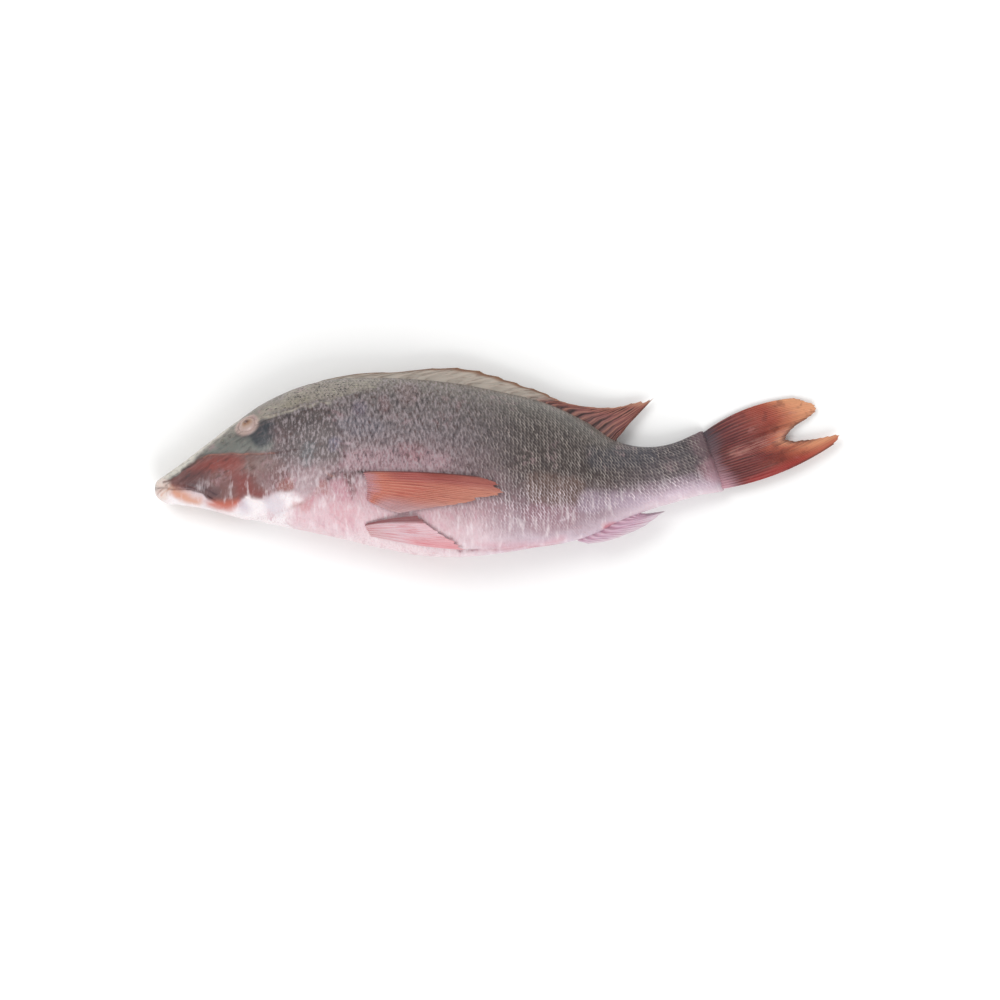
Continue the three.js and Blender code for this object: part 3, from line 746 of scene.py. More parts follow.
class Fin:
    """A fin: middle(u, v) gives its middle surface, with u across the rays and v along them."""

    def __init__(self, name, slot, middle, rays, length, fray, notch, wave, seed):
        self.name, self.slot, self.middle, self.rays, self.length = name, slot, middle, rays, length
        self.fray, self.notch, self.wave, self.seed = fray, notch, wave, seed

    def grid(self):
        columns, rows = 10 * self.rays, max(30, int(self.length / 0.7))
        u, v = np.meshgrid(np.linspace(0, 1, columns + 1), np.linspace(0, 1, rows + 1), indexing="ij")
        ray = u * self.rays
        between = np.abs(np.sin(math.pi * ray))
        torn = np.clip(noise(ray * 0.8, 0 * ray, self.seed) * 2 - 0.5, 0, 1)
        frayed = np.abs(noise(ray * 3.1, 0 * ray, self.seed + 1))
        reach = 1 - self.notch * between - self.fray * (torn + 0.4 * frayed)
        return u, v * lerp(1, reach, ramp(0.3, 1, v)), v, ray

    def ridges(self, ray, v):
        """1 on a ray and 0 between two. Each ray forks at half its length, and again near its tip."""
        ridge = lambda count: (0.5 + 0.5 * np.cos(2 * math.pi * ray * count)) ** 1.5
        forked = lerp(ridge(1), ridge(2), ramp(0.35, 0.6, v))
        return lerp(forked, ridge(4), 0.7 * ramp(0.7, 0.9, v))

    def make(self, material):
        u, reach, v, ray = self.grid()
        x, h, w = self.middle(u, reach)
        middle = lay(x, h, w)
        ridge = self.ridges(ray, v)
        edge = np.minimum(np.minimum(u, 1 - u) * self.rays * 3, (1 - v) * 14)
        rounded = np.sqrt(np.clip(edge, 0.02, 1))
        thickness = lerp(RAY_THICKNESS, MARGIN_THICKNESS, np.sqrt(v)) * lerp(MEMBRANE_SHARE, 1, ridge)
        half = np.maximum(thickness * rounded / 2, 0.06)
        free = ramp(0.1, 0.6, v)
        middle[..., 2] += self.wave * free * noise(ray * 0.45, v * 1.6, self.seed + 2)
        middle[..., 2] += 0.12 * free * noise(ray * 2.2, v * 5, self.seed + 3)
        middle[..., 2] = np.maximum(middle[..., 2], half)
        if np.mean(normals_of(middle)[..., 2]) > 0:
            middle, half, ridge, u, v, ray = (a[::-1] for a in (middle, half, ridge, u, v, ray))
        points, faces = plate(middle, half)
        fan = np.stack([ray, v * self.length / 10, np.zeros_like(ray)], axis=-1).reshape(-1, 3)
        both = {"ray": ridge, "across": u, "out": v}
        attributes = {key: np.tile(value.ravel(), 2) for key, value in both.items()}
        attributes["fan"] = np.tile(fan, (2, 1))
        make_piece("fish_" + self.name, points, faces.tolist(), attributes, material, [self.name])


def edge_slope(edge, x):
    step = 4
    rise = getattr(section_at(x + step), edge) - getattr(section_at(x - step), edge)
    return np.arctan(rise / (2 * step))


def edge_fin(edge, start, end, table, cad_rows):
    """A fin on the back or the belly: place, length and lean of its rays' roots, as in the CAD."""
    outwards = 1 if edge == "back" else -1

    def middle(u, v):
        share, length, lean = np.moveaxis(smooth(table, u), -1, 0)
        x = lerp(start, end, share)
        angle = edge_slope(edge, x) + outwards * np.radians(lean)
        sunk = ROOT_DEPTH * np.maximum(0, 1 - cad_rows * v)
        root = getattr(section_at(x), edge) - outwards * sunk
        return x + length * v * np.cos(angle), root + length * v * np.sin(angle), np.zeros_like(x)

    return middle


DORSAL_TABLE = [
    (0.0, 0.3 * SPINE_LENGTH, 4),
    (0.11, 0.84 * SPINE_LENGTH, 6.5),
    (0.24, 0.97 * SPINE_LENGTH, 15),
    (0.38, SPINE_LENGTH, 22),
    (0.51, 0.9 * SPINE_LENGTH, 20.5),
    (0.64, 0.7 * SPINE_LENGTH, 20),
    (0.73, 0.5 * SPINE_LENGTH, 20),
    (0.77, 0.34 * SOFT_RAY_LENGTH, 20),
    (0.83, 0.56 * SOFT_RAY_LENGTH, 32),
    (0.88, 0.79 * SOFT_RAY_LENGTH, 40),
    (0.93, 0.94 * SOFT_RAY_LENGTH, 50),
    (0.965, SOFT_RAY_LENGTH, 55),
    (0.985, 0.48 * SOFT_RAY_LENGTH, 57),
    (1.0, 0.2 * SOFT_RAY_LENGTH, 62),
]
ANAL_TABLE = [
    (0.0, 0.32 * ANAL_RAY_LENGTH, 30),
    (0.22, 0.67 * ANAL_RAY_LENGTH, 22),
    (0.45, 0.93 * ANAL_RAY_LENGTH, 25),
    (0.68, ANAL_RAY_LENGTH, 20),
    (0.9, 0.52 * ANAL_RAY_LENGTH, 16),
    (1.0, 0.2 * ANAL_RAY_LENGTH, 24),
]
TAIL_TIPS = [
    (0.98, -0.6),
    (1.0, -0.4),
    (0.84, -0.32),
    (0.72, -0.22),
    (0.6, -0.03),
    (0.7, 0.22),
    (0.81, 0.32),
    (0.91, 0.48),
    (0.88, 0.76),
    (0.77, 1.02),
]
TAIL_BOW = 0.22


def caudal_fin(u, v):
    along, across = np.moveaxis(smooth(TAIL_TIPS, u), -1, 0)
    root = section_at(BODY_LENGTH)
    half_spread = TAIL_SPREAD / 2
    bow = TAIL_BOW * (2 * u - 1) * 4 * v * (1 - v)
    start = lerp(TAIL_ROOT_SHARE * root.belly, TAIL_ROOT_SHARE * root.back, u)
    x = BODY_LENGTH + lerp(-ROOT_DEPTH, along * TAIL_LENGTH, v)
    return x, lerp(start, across * half_spread, v) + bow * half_spread, np.zeros_like(u)


PECTORAL_TABLE = [
    (0.25, -8.4, -1),
    (0.43, -6, -1.5),
    (0.64, -3.5, -1),
    (0.85, 0, 0),
    (0.98, 4, 1),
    (0.95, 9, 1.5),
    (0.82, 13, 1.2),
]
PELVIC_TABLE = [
    (1.0, -9, -2),
    (0.86, -5, -1),
    (0.72, -0.5, 0),
    (0.6, 5, 0),
    (0.5, 9.5, 1),
]
PELVIC_BOTTOM = float(section_at(PAIRED_FINS_START).belly) + PELVIC_ABOVE_BELLY
PECTORAL_BOTTOM = PELVIC_BOTTOM + PECTORAL_ABOVE_PELVIC
FLANK_FIN_RISE = 11  # a fin rises out of the skin over one part in 11 of its length


def flank_fin(side, root_h, root_width, root_lean, fin_length, table, stand_off):
    """A fin folded back against a flank: tips of its rays behind its root, as in the CAD."""
    x = PAIRED_FINS_START

    def middle(u, v):
        along, height, bow = np.moveaxis(smooth(table, u), -1, 0)
        reach_x = lerp(lerp(x, x - root_lean, u), x + along * fin_length, v)
        reach_h = lerp(root_h + root_width * u, root_h + height, v) + bow * 4 * v * (1 - v)
        clear = RAY_THICKNESS / 2 + CLEARANCE + stand_off * v
        sunk = (ROOT_DEPTH + clear) * np.maximum(0, 1 - FLANK_FIN_RISE * v)
        return reach_x, reach_h, side * (skin(reach_x, reach_h) + clear - sunk)

    return middle


def make_fins():
    dorsal = edge_fin("back", DORSAL_START, DORSAL_END, DORSAL_TABLE, cad_rows=5)
    anal = edge_fin("belly", ANAL_START, ANAL_END, ANAL_TABLE, cad_rows=4)
    Fin("dorsal_fin", "fin", dorsal, 24, SOFT_RAY_LENGTH, 0.07, 0.07, 0.5, 31).make(dorsal_material())
    Fin("anal_fin", "pale_fin", anal, 11, ANAL_RAY_LENGTH, 0.03, 0.02, 0.4, 41).make(pale_fin_material())
    Fin("caudal_fin", "tail", caudal_fin, 24, TAIL_LENGTH, 0.03, 0.01, 0.7, 51).make(tail_material())
    pectoral_look, pelvic_look = pectoral_material(), pelvic_material()
    for side, label, seed in ((LEFT, "left", 61), (RIGHT, "right", 71)):
        pectoral = flank_fin(side, PECTORAL_BOTTOM, PECTORAL_ROOT, 5, PECTORAL_LENGTH, PECTORAL_TABLE, 1.2)
        pelvic = flank_fin(side, PELVIC_BOTTOM, PELVIC_ROOT, 2, PELVIC_LENGTH, PELVIC_TABLE, 2)
        upper = Fin("pectoral_fin_" + label, "fin", pectoral, 15, PECTORAL_LENGTH, 0.05, 0.02, 0.3, seed)
        upper.make(pectoral_look)
        lower = Fin("pelvic_fin_" + label, "pale_fin", pelvic, 7, PELVIC_LENGTH, 0.05, 0.03, 0.3, seed + 5)
        lower.make(pelvic_look)


# ---------------------------------------------------------------- eyes

PUPIL_RADIUS = 1.5
PUPIL_OFF_CENTRE = (-0.3, 1.5)  # forwards and up
EYE_RINGS = 40
EYE_SIDES = 72


def make_eye(name, side, material):
    """A flattened ball with a low, slightly sunken cornea, its short axis square to the skin."""
    height = section_at(EYE_X).back - EYE_BELOW_BACK
    on_skin = lambda dx, dh: lay(EYE_X + dx, height + dh, side * skin(EYE_X + dx, height + dh))
    tail_wards = on_skin(1, 0) - on_skin(-1, 0)
    tail_wards /= np.linalg.norm(tail_wards)
    out = side * np.cross(tail_wards, on_skin(0, 1) - on_skin(0, -1))
    out /= np.linalg.norm(out)
    back_wards = side * np.cross(out, tail_wards)
    polar, around = np.meshgrid(
        np.linspace(0.02, math.pi - 0.02, EYE_RINGS),
        np.linspace(0, 2 * math.pi, EYE_SIDES, endpoint=False),
        indexing="ij",
    )
    radius = EYE_DIAMETER / 2
    flat_x, flat_y = radius * np.sin(polar) * np.cos(around), radius * np.sin(polar) * np.sin(around)
    from_pupil = np.hypot(flat_x - PUPIL_OFF_CENTRE[0], flat_y - PUPIL_OFF_CENTRE[1])
    depth = EYE_DEPTH / 2 * np.cos(polar)
    depth += 0.16 * noise(flat_x / 2.6 + 9, flat_y / 2.6, 81) + 0.35 * bell(from_pupil, PUPIL_RADIUS)
    points = on_skin(0, 0) + flat_x[..., None] * tail_wards + flat_y[..., None] * back_wards
    points = points + (depth - EYE_SINK)[..., None] * out
    faces = tube_faces(EYE_RINGS, EYE_SIDES)
    if side == LEFT:
        faces = [face[::-1] for face in faces]
    attributes = {"pupil": from_pupil.ravel(), "reach": np.hypot(flat_x, flat_y).ravel()}
    make_piece("fish_" + name, points.reshape(-1, 3), faces, attributes, material, [name])


# ---------------------------------------------------------------- materials


def srgb(red, green, blue):
    """A colour given in 0 to 255 as linear light, with full alpha."""
    shares = np.array([red, green, blue]) / 255
    linear = np.where(shares <= 0.04045, shares / 12.92, ((shares + 0.055) / 1.055) ** 2.4)
    return (*[float(v) for v in linear], 1.0)


def tone(red, green, blue):
    """Base colour of wet skin that looks like this tone, in 0 to 255, in the studio's light."""
    seen = np.array(srgb(red, green, blue)[:3])
    return (*[float(v) for v in np.clip((seen - SHEEN) / STUDIO_LIGHT, 0.006, 0.92)], 1.0)


class Value:
    """A number in a material's nodes. Arithmetic on it adds Math nodes."""

    def __init__(self, nodes, socket):
        self.nodes, self.socket = nodes, socket

    def _math(self, operation, *others):
        return self.nodes.math(operation, self, *others)

    def __add__(self, other):
        return self._math("ADD", other)

    def __sub__(self, other):
        return self._math("SUBTRACT", other)

    def __mul__(self, other):
        return self._math("MULTIPLY", other)

    def __rsub__(self, other):
        return self.nodes.math("SUBTRACT", other, self)

    __radd__, __rmul__ = __add__, __mul__


class Look:
    """A Principled material that is put together from Python expressions."""

    def __init__(self, name):
        self.material = bpy.data.materials.new(name)
        self.material.use_nodes = True
        self.tree = self.material.node_tree
        self.shader = self.tree.nodes["Principled BSDF"]
        self.colour = None

    def _link(self, value, socket):
        if isinstance(value, Value):
            self.tree.links.new(value.socket, socket)
        else:
            socket.default_value = value

    def math(self, operation, *values):
        node = self.tree.nodes.new("ShaderNodeMath")
        node.operation = operation
        for value, socket in zip(values, node.inputs):
            self._link(value, socket)
        return Value(self, node.outputs[0])

    def attribute(self, name, vector=False):
        node = self.tree.nodes.new("ShaderNodeAttribute")
        node.attribute_name = name
        return Value(self, node.outputs["Vector" if vector else "Fac"])

    def parts(self, vector):
        node = self.tree.nodes.new("ShaderNodeSeparateXYZ")
        self._link(vector, node.inputs[0])
        return [Value(self, socket) for socket in node.outputs]

    def plane(self, x, y):
        node = self.tree.nodes.new("ShaderNodeCombineXYZ")
        self._link(x, node.inputs[0])
        self._link(y, node.inputs[1])
        return Value(self, node.outputs[0])

    def place(self):
        """The piece's own coordinates, in metres."""
        node = self.tree.nodes.new("ShaderNodeTexCoord")
        return Value(self, node.outputs["Object"])

    def noise(self, size, vector=None, detail=3.0, rough=0.55):
        """Cloudy noise from 0 to 1, whose blotches have that size in millimetres."""
        node = self.tree.nodes.new("ShaderNodeTexNoise")
        node.inputs["Scale"].default_value = 1 / (size * MM) if vector is None else 1 / size
        node.inputs["Detail"].default_value = detail
        node.inputs["Roughness"].default_value = rough
        self._link(self.place() if vector is None else vector, node.inputs["Vector"])
        return Value(self, node.outputs["Fac"])

    def cells(self, vector):
        """Distance to the nearest of some scattered dots, about one to a unit."""
        node = self.tree.nodes.new("ShaderNodeTexVoronoi")
        node.inputs["Scale"].default_value = 1
        self._link(vector, node.inputs["Vector"])
        return Value(self, node.outputs["Distance"])

    def chance(self, vector):
        """A number from 0 to 1 that differs at random from one vector to the next."""
        node = self.tree.nodes.new("ShaderNodeTexWhiteNoise")
        self._link(vector, node.inputs["Vector"])
        return Value(self, node.outputs["Value"])

    def step(self, value, low, high):
        """0 below low, 1 above high and smooth between them."""
        node = self.tree.nodes.new("ShaderNodeMapRange")
        node.interpolation_type = "SMOOTHSTEP"
        self._link(value, node.inputs["Value"])
        node.inputs["From Min"].default_value = low
        node.inputs["From Max"].default_value = high
        return Value(self, node.outputs["Result"])

    def mix(self, a, b, share, blend="MIX"):
        node = self.tree.nodes.new("ShaderNodeMix")
        node.data_type = "RGBA"
        node.blend_type = blend
        node.clamp_factor = True
        self._link(share, node.inputs[0])
        self._link(a, node.inputs[6])
        self._link(b, node.inputs[7])
        return Value(self, node.outputs[2])

    def paint(self, over, share):
        """Lays a tone, or another colour of this look, over the look's colour."""
        self.colour = self.mix(self.colour, over if isinstance(over, Value) else tone(*over), share)

    def stops(self, value, *stops):
        """A colour ramp through (place, colour) stops."""
        node = self.tree.nodes.new("ShaderNodeValToRGB")
        elements = node.color_ramp.elements
        for (place, colour), element in zip(stops, elements):
            element.position, element.color = place, colour
        for place, colour in stops[len(elements):]:
            elements.new(place).color = colour
        self._link(value, node.inputs[0])
        return Value(self, node.outputs[0])

    def finish(self, roughness, height, distance, **constants):
        """Links the look to the shader. Height is in steps of a distance in millimetres."""
        bump = self.tree.nodes.new("ShaderNodeBump")
        bump.inputs["Distance"].default_value = distance * MM
        self._link(height, bump.inputs["Height"])
        self.tree.links.new(bump.outputs[0], self.shader.inputs["Normal"])
        self._link(self.colour, self.shader.inputs["Base Color"])
        self._link(roughness, self.shader.inputs["Roughness"])
        for name, value in constants.items():
            self.shader.inputs[name.replace("_", " ")].default_value = value
        return self.material


# A wet film over soft, slightly translucent flesh.
WET = {
    "Coat_Weight": 0.3,
    "Coat_Roughness": 0.2,
    "Coat_IOR": 1.34,
    "Subsurface_Weight": 0.06,
    "Subsurface_Radius": (0.003, 0.0014, 0.001),
    "Subsurface_Scale": 1.0,
}

FRONT_TONES = [
    (0.0, (238, 218, 222)), (0.12, (226, 195, 201)), (0.24, (202, 166, 172)), (0.38, (176, 146, 152)),
    (0.5, (150, 128, 132)), (0.66, (126, 116, 119)), (0.86, (122, 115, 113)), (1.0, (142, 135, 124)),
]
REAR_TONES = [
    (0.0, (214, 194, 206)), (0.12, (172, 148, 158)), (0.24, (138, 115, 122)), (0.36, (104, 90, 90)),
    (0.52, (84, 76, 74)), (0.75, (90, 83, 80)), (0.92, (116, 112, 106)), (1.0, (140, 134, 126)),
]
STEM_TONES = [
    (0.0, (226, 206, 214)), (0.14, (204, 182, 196)), (0.26, (162, 142, 153)), (0.4, (110, 99, 103)),
    (0.7, (98, 92, 96)), (1.0, (82, 76, 82)),
]
HEAD_TONES = [
    (0.0, (238, 228, 232)), (0.2, (226, 208, 214)), (0.34, (170, 146, 150)), (0.46, (104, 90, 90)),
    (0.7, (86, 76, 76)), (0.85, (90, 82, 80)), (1.0, (150, 144, 134)),
]


def scale_pattern(look):
    """The same scales as in the relief: height, light dash on the free edge, and a chance per scale."""
    along, across, skew = look.parts(look.attribute("lattice", vector=True))
    rows = []
    for offset in (0, 0.5):
        place = across + offset
        row = look.math("ROUND", place)
        beside_row = place - row
        edge = SCALE_BULGE * (1 - 4 * (beside_row * beside_row)) + skew * beside_row
        shifted = along + offset * (1 - skew) - edge
        ahead = 1 - look.math("FRACT", shifted)
        number = look.math("FLOOR", shifted)
        chance = look.chance(look.plane(number + 0.5 * offset, row * 3 + offset))
        spread = look.math("ABSOLUTE", beside_row)
        dash = (1 - look.step(ahead, 0.12, 0.42)) * (1 - look.step(spread, 0.2, 0.42))
        rows.append((ahead, dash, chance))
    (ahead, dash, chance), (other_ahead, other_dash, other_chance) = rows
    other = look.math("GREATER_THAN", ahead, other_ahead)
    light = look.math("MAXIMUM", dash, other_dash)
    picked = chance + other * (other_chance - chance)
    return 1 - look.math("MINIMUM", ahead, other_ahead), light, picked


def toned(look, value, tones):
    return look.stops(value, *[(place, tone(*seen)) for place, seen in tones])


def skin_material():
    look = Look("wet_skin")
    mask = look.attribute
    x, down = mask("x"), mask("down")
    scaly, streaky, bare, speckle = mask("scaly"), mask("streaky"), mask("bare"), mask("speckle")
    height, light, chance = scale_pattern(look)
    cloud, mottle, grain = look.noise(16), look.noise(3.6), look.noise(0.8)
    flecks = look.noise(1, look.plane(x * 0.62, down * 0.24), detail=4.0, rough=0.6)
    smears = look.noise(1, look.plane(x * 0.16, down * 0.4), detail=4.0)
    folds = look.noise(1, look.plane(x * 0.3, down * 0.07), detail=3.0)

    tall = mask("tall") + 0.14 * (cloud - 0.5) + 0.1 * (mottle - 0.5)
    place = x + 26 * (cloud - 0.5)
    zones = (FRONT_TONES, REAR_TONES, STEM_TONES, HEAD_TONES)
    front, rear, stem, head = (toned(look, tall, tones) for tones in zones)
    trunk = look.mix(look.mix(front, rear, look.step(place, 160, 235)), stem, look.step(place, 268, 300))
    shown = look.mix(look.mix(head, trunk, mask("trunk")), BLACK, mask("washed"))
    look.colour = look.mix(shown, mask("wash", vector=True), 1.0, "ADD")
    # Painted light: the skin round the eye is painted paler to lift the shade in the groove between the eye
    # and its lid
    look.paint((196, 170, 162), mask("socket") * 0.85)

    # Blotches: every few millimetres the skin turns greyer, browner or pinker
    back = look.step(tall, 0.2, 0.5)
    belly = 1 - back
    look.paint((84, 76, 80), look.step(mottle, 0.52, 0.7) * back * 0.3)
    look.paint((190, 150, 158), look.step(cloud, 0.54, 0.7) * look.step(mottle, 0.44, 0.6) * 0.3)
    look.paint((54, 34, 36), bare * look.step(smears, 0.53, 0.68) * look.step(tall, 0.25, 0.4) * 0.4)
    look.paint((196, 160, 156), bare * (1 - look.step(smears, 0.3, 0.5)) * 0.1)

    # Scales: dark at their roots, a light dash on the free edge, and no two alike
    plain = 1 - streaky
    roots = 1 - look.step(height, 0.1, 0.7)
    look.paint((66, 58, 60), scaly * roots * (0.1 + 0.42 * back) * (0.4 + 0.6 * plain))
    look.paint((58, 52, 56), scaly * look.step(chance, 0.55, 1.0) * back * 0.35)
    back_dash = look.mix(tone(182, 166, 168), tone(170, 160, 154), plain)
    dashes = scaly * light * look.step(mottle, 0.3, 0.6) * (0.3 + 0.75 * (1 - chance))
    look.paint(look.mix(tone(240, 224, 232), back_dash, back), dashes * (0.35 + 0.65 * plain))

    # Upright wavy streaks on the front of the flank and on the cheek
    between = 1 - look.step(flecks, 0.36, 0.48)
    pale_fleck = look.mix(tone(216, 190, 196), tone(176, 163, 167), back)
    look.paint(pale_fleck, streaky * look.step(flecks, 0.49, 0.62) * 0.6)
    dark_fleck = look.mix(tone(64, 56, 62), tone(88, 62, 60), look.step(mottle, 0.46, 0.56))
    look.paint(dark_fleck, streaky * between * back * 0.65)
    look.paint((206, 150, 160), streaky * between * belly * 0.3)
    look.paint((246, 234, 238), belly * look.step(folds, 0.52, 0.7) * 0.45)
    look.paint((206, 152, 166), belly * streaky * (1 - look.step(folds, 0.32, 0.46)) * 0.4)

    # Fine dark pigment on the nape and along the back
    dots = 1 - look.step(look.cells(look.plane(x * 0.55, down * 0.95)), 0.22, 0.42)
    dots = dots * look.step(mottle, 0.42, 0.54)
    look.paint((52, 46, 36), dots * (0.85 * speckle + 0.2 * look.step(tall, 0.7, 0.95)))
    look.paint((196, 192, 168), speckle * look.step(smears, 0.54, 0.7) * 0.5)
    grainy = look.mix(BLACK, WHITE, 0.82 + 0.36 * grain)
    look.colour = look.mix(look.colour, grainy, 1.0, "MULTIPLY")

    roughness = 0.36 + 0.2 * mottle + 0.12 * (1 - height) * scaly
    relief = height * scaly * 0.5 + grain * 0.3 + mottle * 0.3 + flecks * streaky * 0.5
    return look.finish(roughness, relief, 0.35, **WET)


def fin_look(name, along_tones, dark, streaks, ray_tone, ray_strength=0.45, gaps=0.25):
    """Skin over rays: tones along the fin, dark streaks along the rays, and lighter rays."""
    look = Look(name)
    out, ray = look.attribute("out"), look.attribute("ray")
    along_ray, along, _ = look.parts(look.attribute("fan", vector=True))
    streaky = look.noise(1, look.plane(along_ray * 2.6, along * 0.4), detail=5.0, rough=0.65)
    patches = look.noise(1, look.plane(along_ray * 0.35, along * 0.45))
    look.colour = toned(look, out + 0.3 * (patches - 0.5), along_tones)
    look.paint(ray_tone, ray * look.step(streaky, 0.36, 0.56) * ray_strength)
    look.paint(dark, look.step(streaky, 0.48, 0.66) * (1 - 0.6 * ray) * streaks)
    gap = 1 - look.step(ray, 0.02, 0.5)
    look.paint(dark, gap * look.step(streaky, 0.38, 0.6) * gaps)
    return look, streaky


def finish_fin(look, streaky):
    along_ray, along, _ = look.parts(look.attribute("fan", vector=True))
    joints = look.noise(1, look.plane(along_ray * 3, along * 7), detail=2.0)
    grain = look.noise(0.7)
    relief = look.attribute("ray") * 0.6 + joints * 0.25 + grain * 0.2 + streaky * 0.3
    return look.finish(0.4 + 0.15 * grain, relief, 0.3, **WET)


def tail_material():
    along_tones = [
        (0.06, (98, 56, 62)), (0.3, (112, 58, 60)), (0.6, (128, 62, 60)), (0.8, (186, 104, 82)),
        (0.96, (230, 162, 128)),
    ]
    look, streaky = fin_look("tail_skin", along_tones, (66, 36, 42), 0.9, (190, 112, 98), 0.4, 0.5)
    across, out = look.attribute("across"), look.attribute("out")
    middle = look.step(across, 0.4, 0.5) * (1 - look.step(across, 0.54, 0.62)) * look.step(out, 0.15, 0.35)
    look.paint((196, 140, 128), middle * look.step(streaky, 0.4, 0.6) * 0.6)
    lobe = look.step(across, 0.55, 0.85) + 0.7 * (1 - look.step(across, 0.12, 0.35))
    look.paint((196, 96, 72), lobe * look.step(out, 0.25, 0.6) * 0.45)
    look.paint((244, 180, 136), lobe * look.step(out, 0.62, 0.92) * 0.65)
    clouds = look.noise(7)
    look.paint((186, 122, 116), look.step(clouds, 0.6, 0.72) * 0.35)
    look.paint((96, 48, 52), (1 - look.step(clouds, 0.34, 0.46)) * 0.4)
    low_edge = (1 - look.step(across, 0.03, 0.14)) * look.step(out, 0.1, 0.3)
    look.paint((176, 64, 62), low_edge * 0.6)

    # The stem's scales run on over the root of the fin with a ragged end
    sheath_tones = [
        (0.0, (206, 160, 172)), (0.3, (158, 122, 130)), (0.6, (122, 98, 104)), (1.0, (82, 76, 82)),
    ]
    ragged = out + 0.3 * (streaky - 0.5)
    look.colour = look.mix(toned(look, across, sheath_tones), look.colour, look.step(ragged, 0.04, 0.2))
    edge = 1 - look.step(across, 0.0, 0.045)
    look.paint((70, 36, 38), edge * look.step(out, 0.3, 0.8) * 0.75)
    fork = look.step(across, 0.15, 0.3) * (1 - look.step(across, 0.62, 0.8))
    look.paint((78, 42, 40), fork * look.step(out, 0.9, 0.99) * 0.7)
    return finish_fin(look, streaky)


def dorsal_material():
    along_tones = [
        (0.05, (124, 92, 90)), (0.4, (142, 92, 90)), (0.8, (156, 100, 90)), (0.98, (196, 146, 122)),
    ]
    look, streaky = fin_look("dorsal_skin", along_tones, (62, 36, 36), 0.95, (206, 148, 128), 0.6, 0.8)
    soft_rayed, out = look.step(look.attribute("across"), 0.4, 0.5), look.attribute("out")
    folded = look.mix(tone(196, 188, 176), tone(128, 98, 76), look.step(out, 0.72, 0.95))
    folded = look.mix(folded, tone(120, 96, 88), look.step(streaky, 0.48, 0.64) * 0.5)
    look.colour = look.mix(folded, look.colour, 0.12 + 0.88 * soft_rayed)
    return finish_fin(look, streaky)


def pectoral_material():
    along_tones = [
        (0.08, (200, 150, 158)), (0.17, (204, 124, 108)), (0.4, (190, 106, 92)), (0.95, (198, 130, 112)),
    ]
    look, streaky = fin_look("pectoral_skin", along_tones, (132, 62, 58), 0.65, (224, 164, 142), 0.55)
    across, out = look.attribute("across"), look.attribute("out")
    low = 1 - look.step(across, 0.08, 0.42)
    look.paint((192, 160, 166), low * look.step(out, 0.12, 0.4) * 0.75)
    look.paint((146, 66, 74), look.step(across, 0.62, 0.78) * look.step(out, 0.15, 0.3) * 0.5)
    look.paint((84, 46, 42), look.step(across, 0.93, 0.99) * 0.8)
    return finish_fin(look, streaky)


def pale_fin_material():
    along_tones = [(0.06, (200, 162, 180)), (0.5, (206, 174, 192)), (0.95, (224, 208, 216))]
    look, streaky = fin_look("anal_skin", along_tones, (168, 98, 132), 0.5, (232, 212, 222))
    return finish_fin(look, streaky)


def pelvic_material():
    along_tones = [(0.06, (212, 172, 176)), (0.5, (218, 190, 198)), (0.95, (222, 180, 188))]
    look, streaky = fin_look("pelvic_skin", along_tones, (204, 100, 110), 0.75, (236, 216, 220))
    across, out = look.attribute("across"), look.attribute("out")
    look.paint((224, 122, 128), (1 - look.step(across, 0.1, 0.5)) * look.step(out, 0.3, 0.55) * 0.5)
    # Painted shade along the fin's upper edge, where it meets the body
    look.paint((116, 48, 54), look.step(across + 0.14 * out, 0.86, 0.98) * 0.85)
    return finish_fin(look, streaky)


def eye_material():
    look = Look("clouded_eye")
    pupil, reach = look.attribute("pupil"), look.attribute("reach")
    cloud, fine = look.noise(3), look.noise(0.8)
    from_pupil = pupil + 0.8 * (cloud - 0.5)
    rings = [
        (0.06, (88, 52, 32)), (0.15, (112, 76, 54)), (0.3, (164, 128, 106)), (0.5, (184, 158, 146)),
        (0.78, (188, 166, 162)), (0.95, (184, 160, 154)),
    ]
    look.colour = toned(look, from_pupil * (1 / 8), rings)
    look.paint((196, 170, 162), look.step(reach, 3.8, 5.4) * 0.7)
    look.paint((190, 172, 170), look.step(cloud, 0.52, 0.75) * 0.4)
    return look.finish(
        0.3 + 0.2 * fine, cloud * 0.6 + fine * 0.2, 0.2,
        Coat_Weight=0.5, Coat_Roughness=0.14, Coat_IOR=1.36,
        Subsurface_Weight=0.15, Subsurface_Radius=(0.003, 0.002, 0.0015), Subsurface_Scale=1.0,
    )


# ---------------------------------------------------------------- studio

MIDDLE = (cad_box[0] + cad_box[1]) / 2
FLOOR_REACH = 3  # from the origin to the floor's edges, in metres
SKY_STRENGTH = 0.62


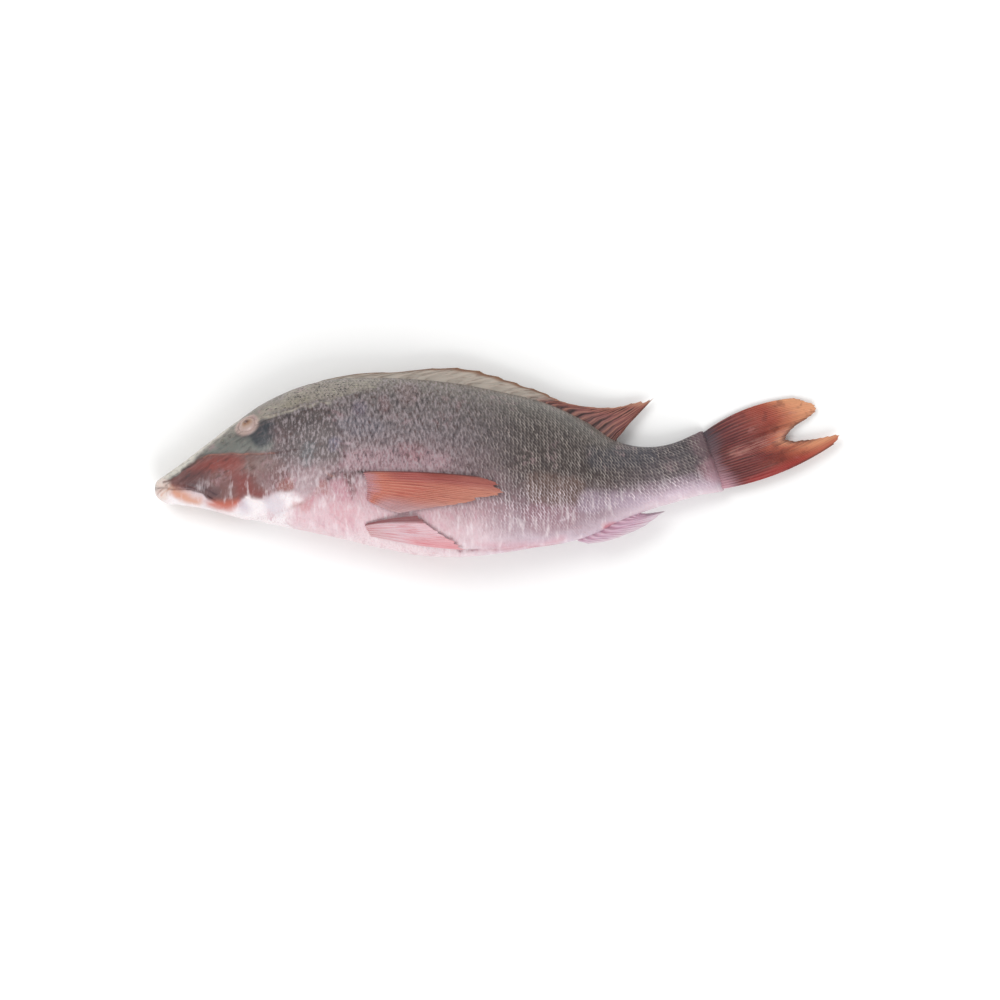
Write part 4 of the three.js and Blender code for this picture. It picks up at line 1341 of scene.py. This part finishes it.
def floor_material():
    look = Look("pale_floor")
    look.colour = look.mix(srgb(250, 250, 250), srgb(252, 252, 251), look.noise(60))
    return look.finish(0.75, look.noise(4), 0.02)


def make_floor():
    mesh = bpy.data.meshes.new("floor")
    corners = [(i * FLOOR_REACH, j * FLOOR_REACH, 0) for i, j in ((-1, -1), (1, -1), (1, 1), (-1, 1))]
    mesh.from_pydata(corners, [], [(0, 1, 2, 3)])
    mesh.materials.append(floor_material())
    floor = add_object("floor", mesh)
    floor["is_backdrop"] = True


def area_light(name, place, size, power):
    """A soft square lamp that looks at the fish."""
    light = bpy.data.lights.new(name, "AREA")
    light.size, light.energy = size, power
    lamp = add_object(name, light)
    lamp.location = place
    lamp.rotation_euler = (MIDDLE - lamp.location).to_track_quat("-Z", "Y").to_euler()


def make_studio():
    make_floor()
    area_light("key", (-0.8, 0.8, 1.5), 1.0, 13)
    area_light("fill", (0.3, -1.3, 1.2), 1.2, 15)
    world = bpy.data.worlds.new("studio")
    world.use_nodes = True
    background = world.node_tree.nodes["Background"]
    background.inputs["Color"].default_value = WHITE
    background.inputs["Strength"].default_value = SKY_STRENGTH
    bpy.context.scene.world = world
    bpy.context.scene.view_settings.view_transform = "Standard"


VIEW_WIDTH = 0.6  # of the picture, in metres, at the fish's middle height
VIEW_BELOW_MIDDLE = 0.0232  # the fish lies above the middle of the picture
VIEW_BEHIND_MIDDLE = 0.0012  # and a little left of it
LENS = 100


def make_camera():
    camera = bpy.data.cameras.new("camera")
    camera.lens = LENS
    holder = add_object("camera", camera)
    distance = VIEW_WIDTH * camera.lens / camera.sensor_width
    holder.location = (MIDDLE.x + VIEW_BEHIND_MIDDLE, MIDDLE.y - VIEW_BELOW_MIDDLE, MIDDLE.z + distance)
    camera.clip_end = 20
    bpy.context.scene.camera = holder


Skin().make()
make_fins()
eye_look = eye_material()
make_eye("eye_left", LEFT, eye_look)
make_eye("eye_right", RIGHT, eye_look)
make_studio()
make_camera()

fish_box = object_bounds()
[[list(corner) for corner in box] for box in (cad_box, fish_box)]
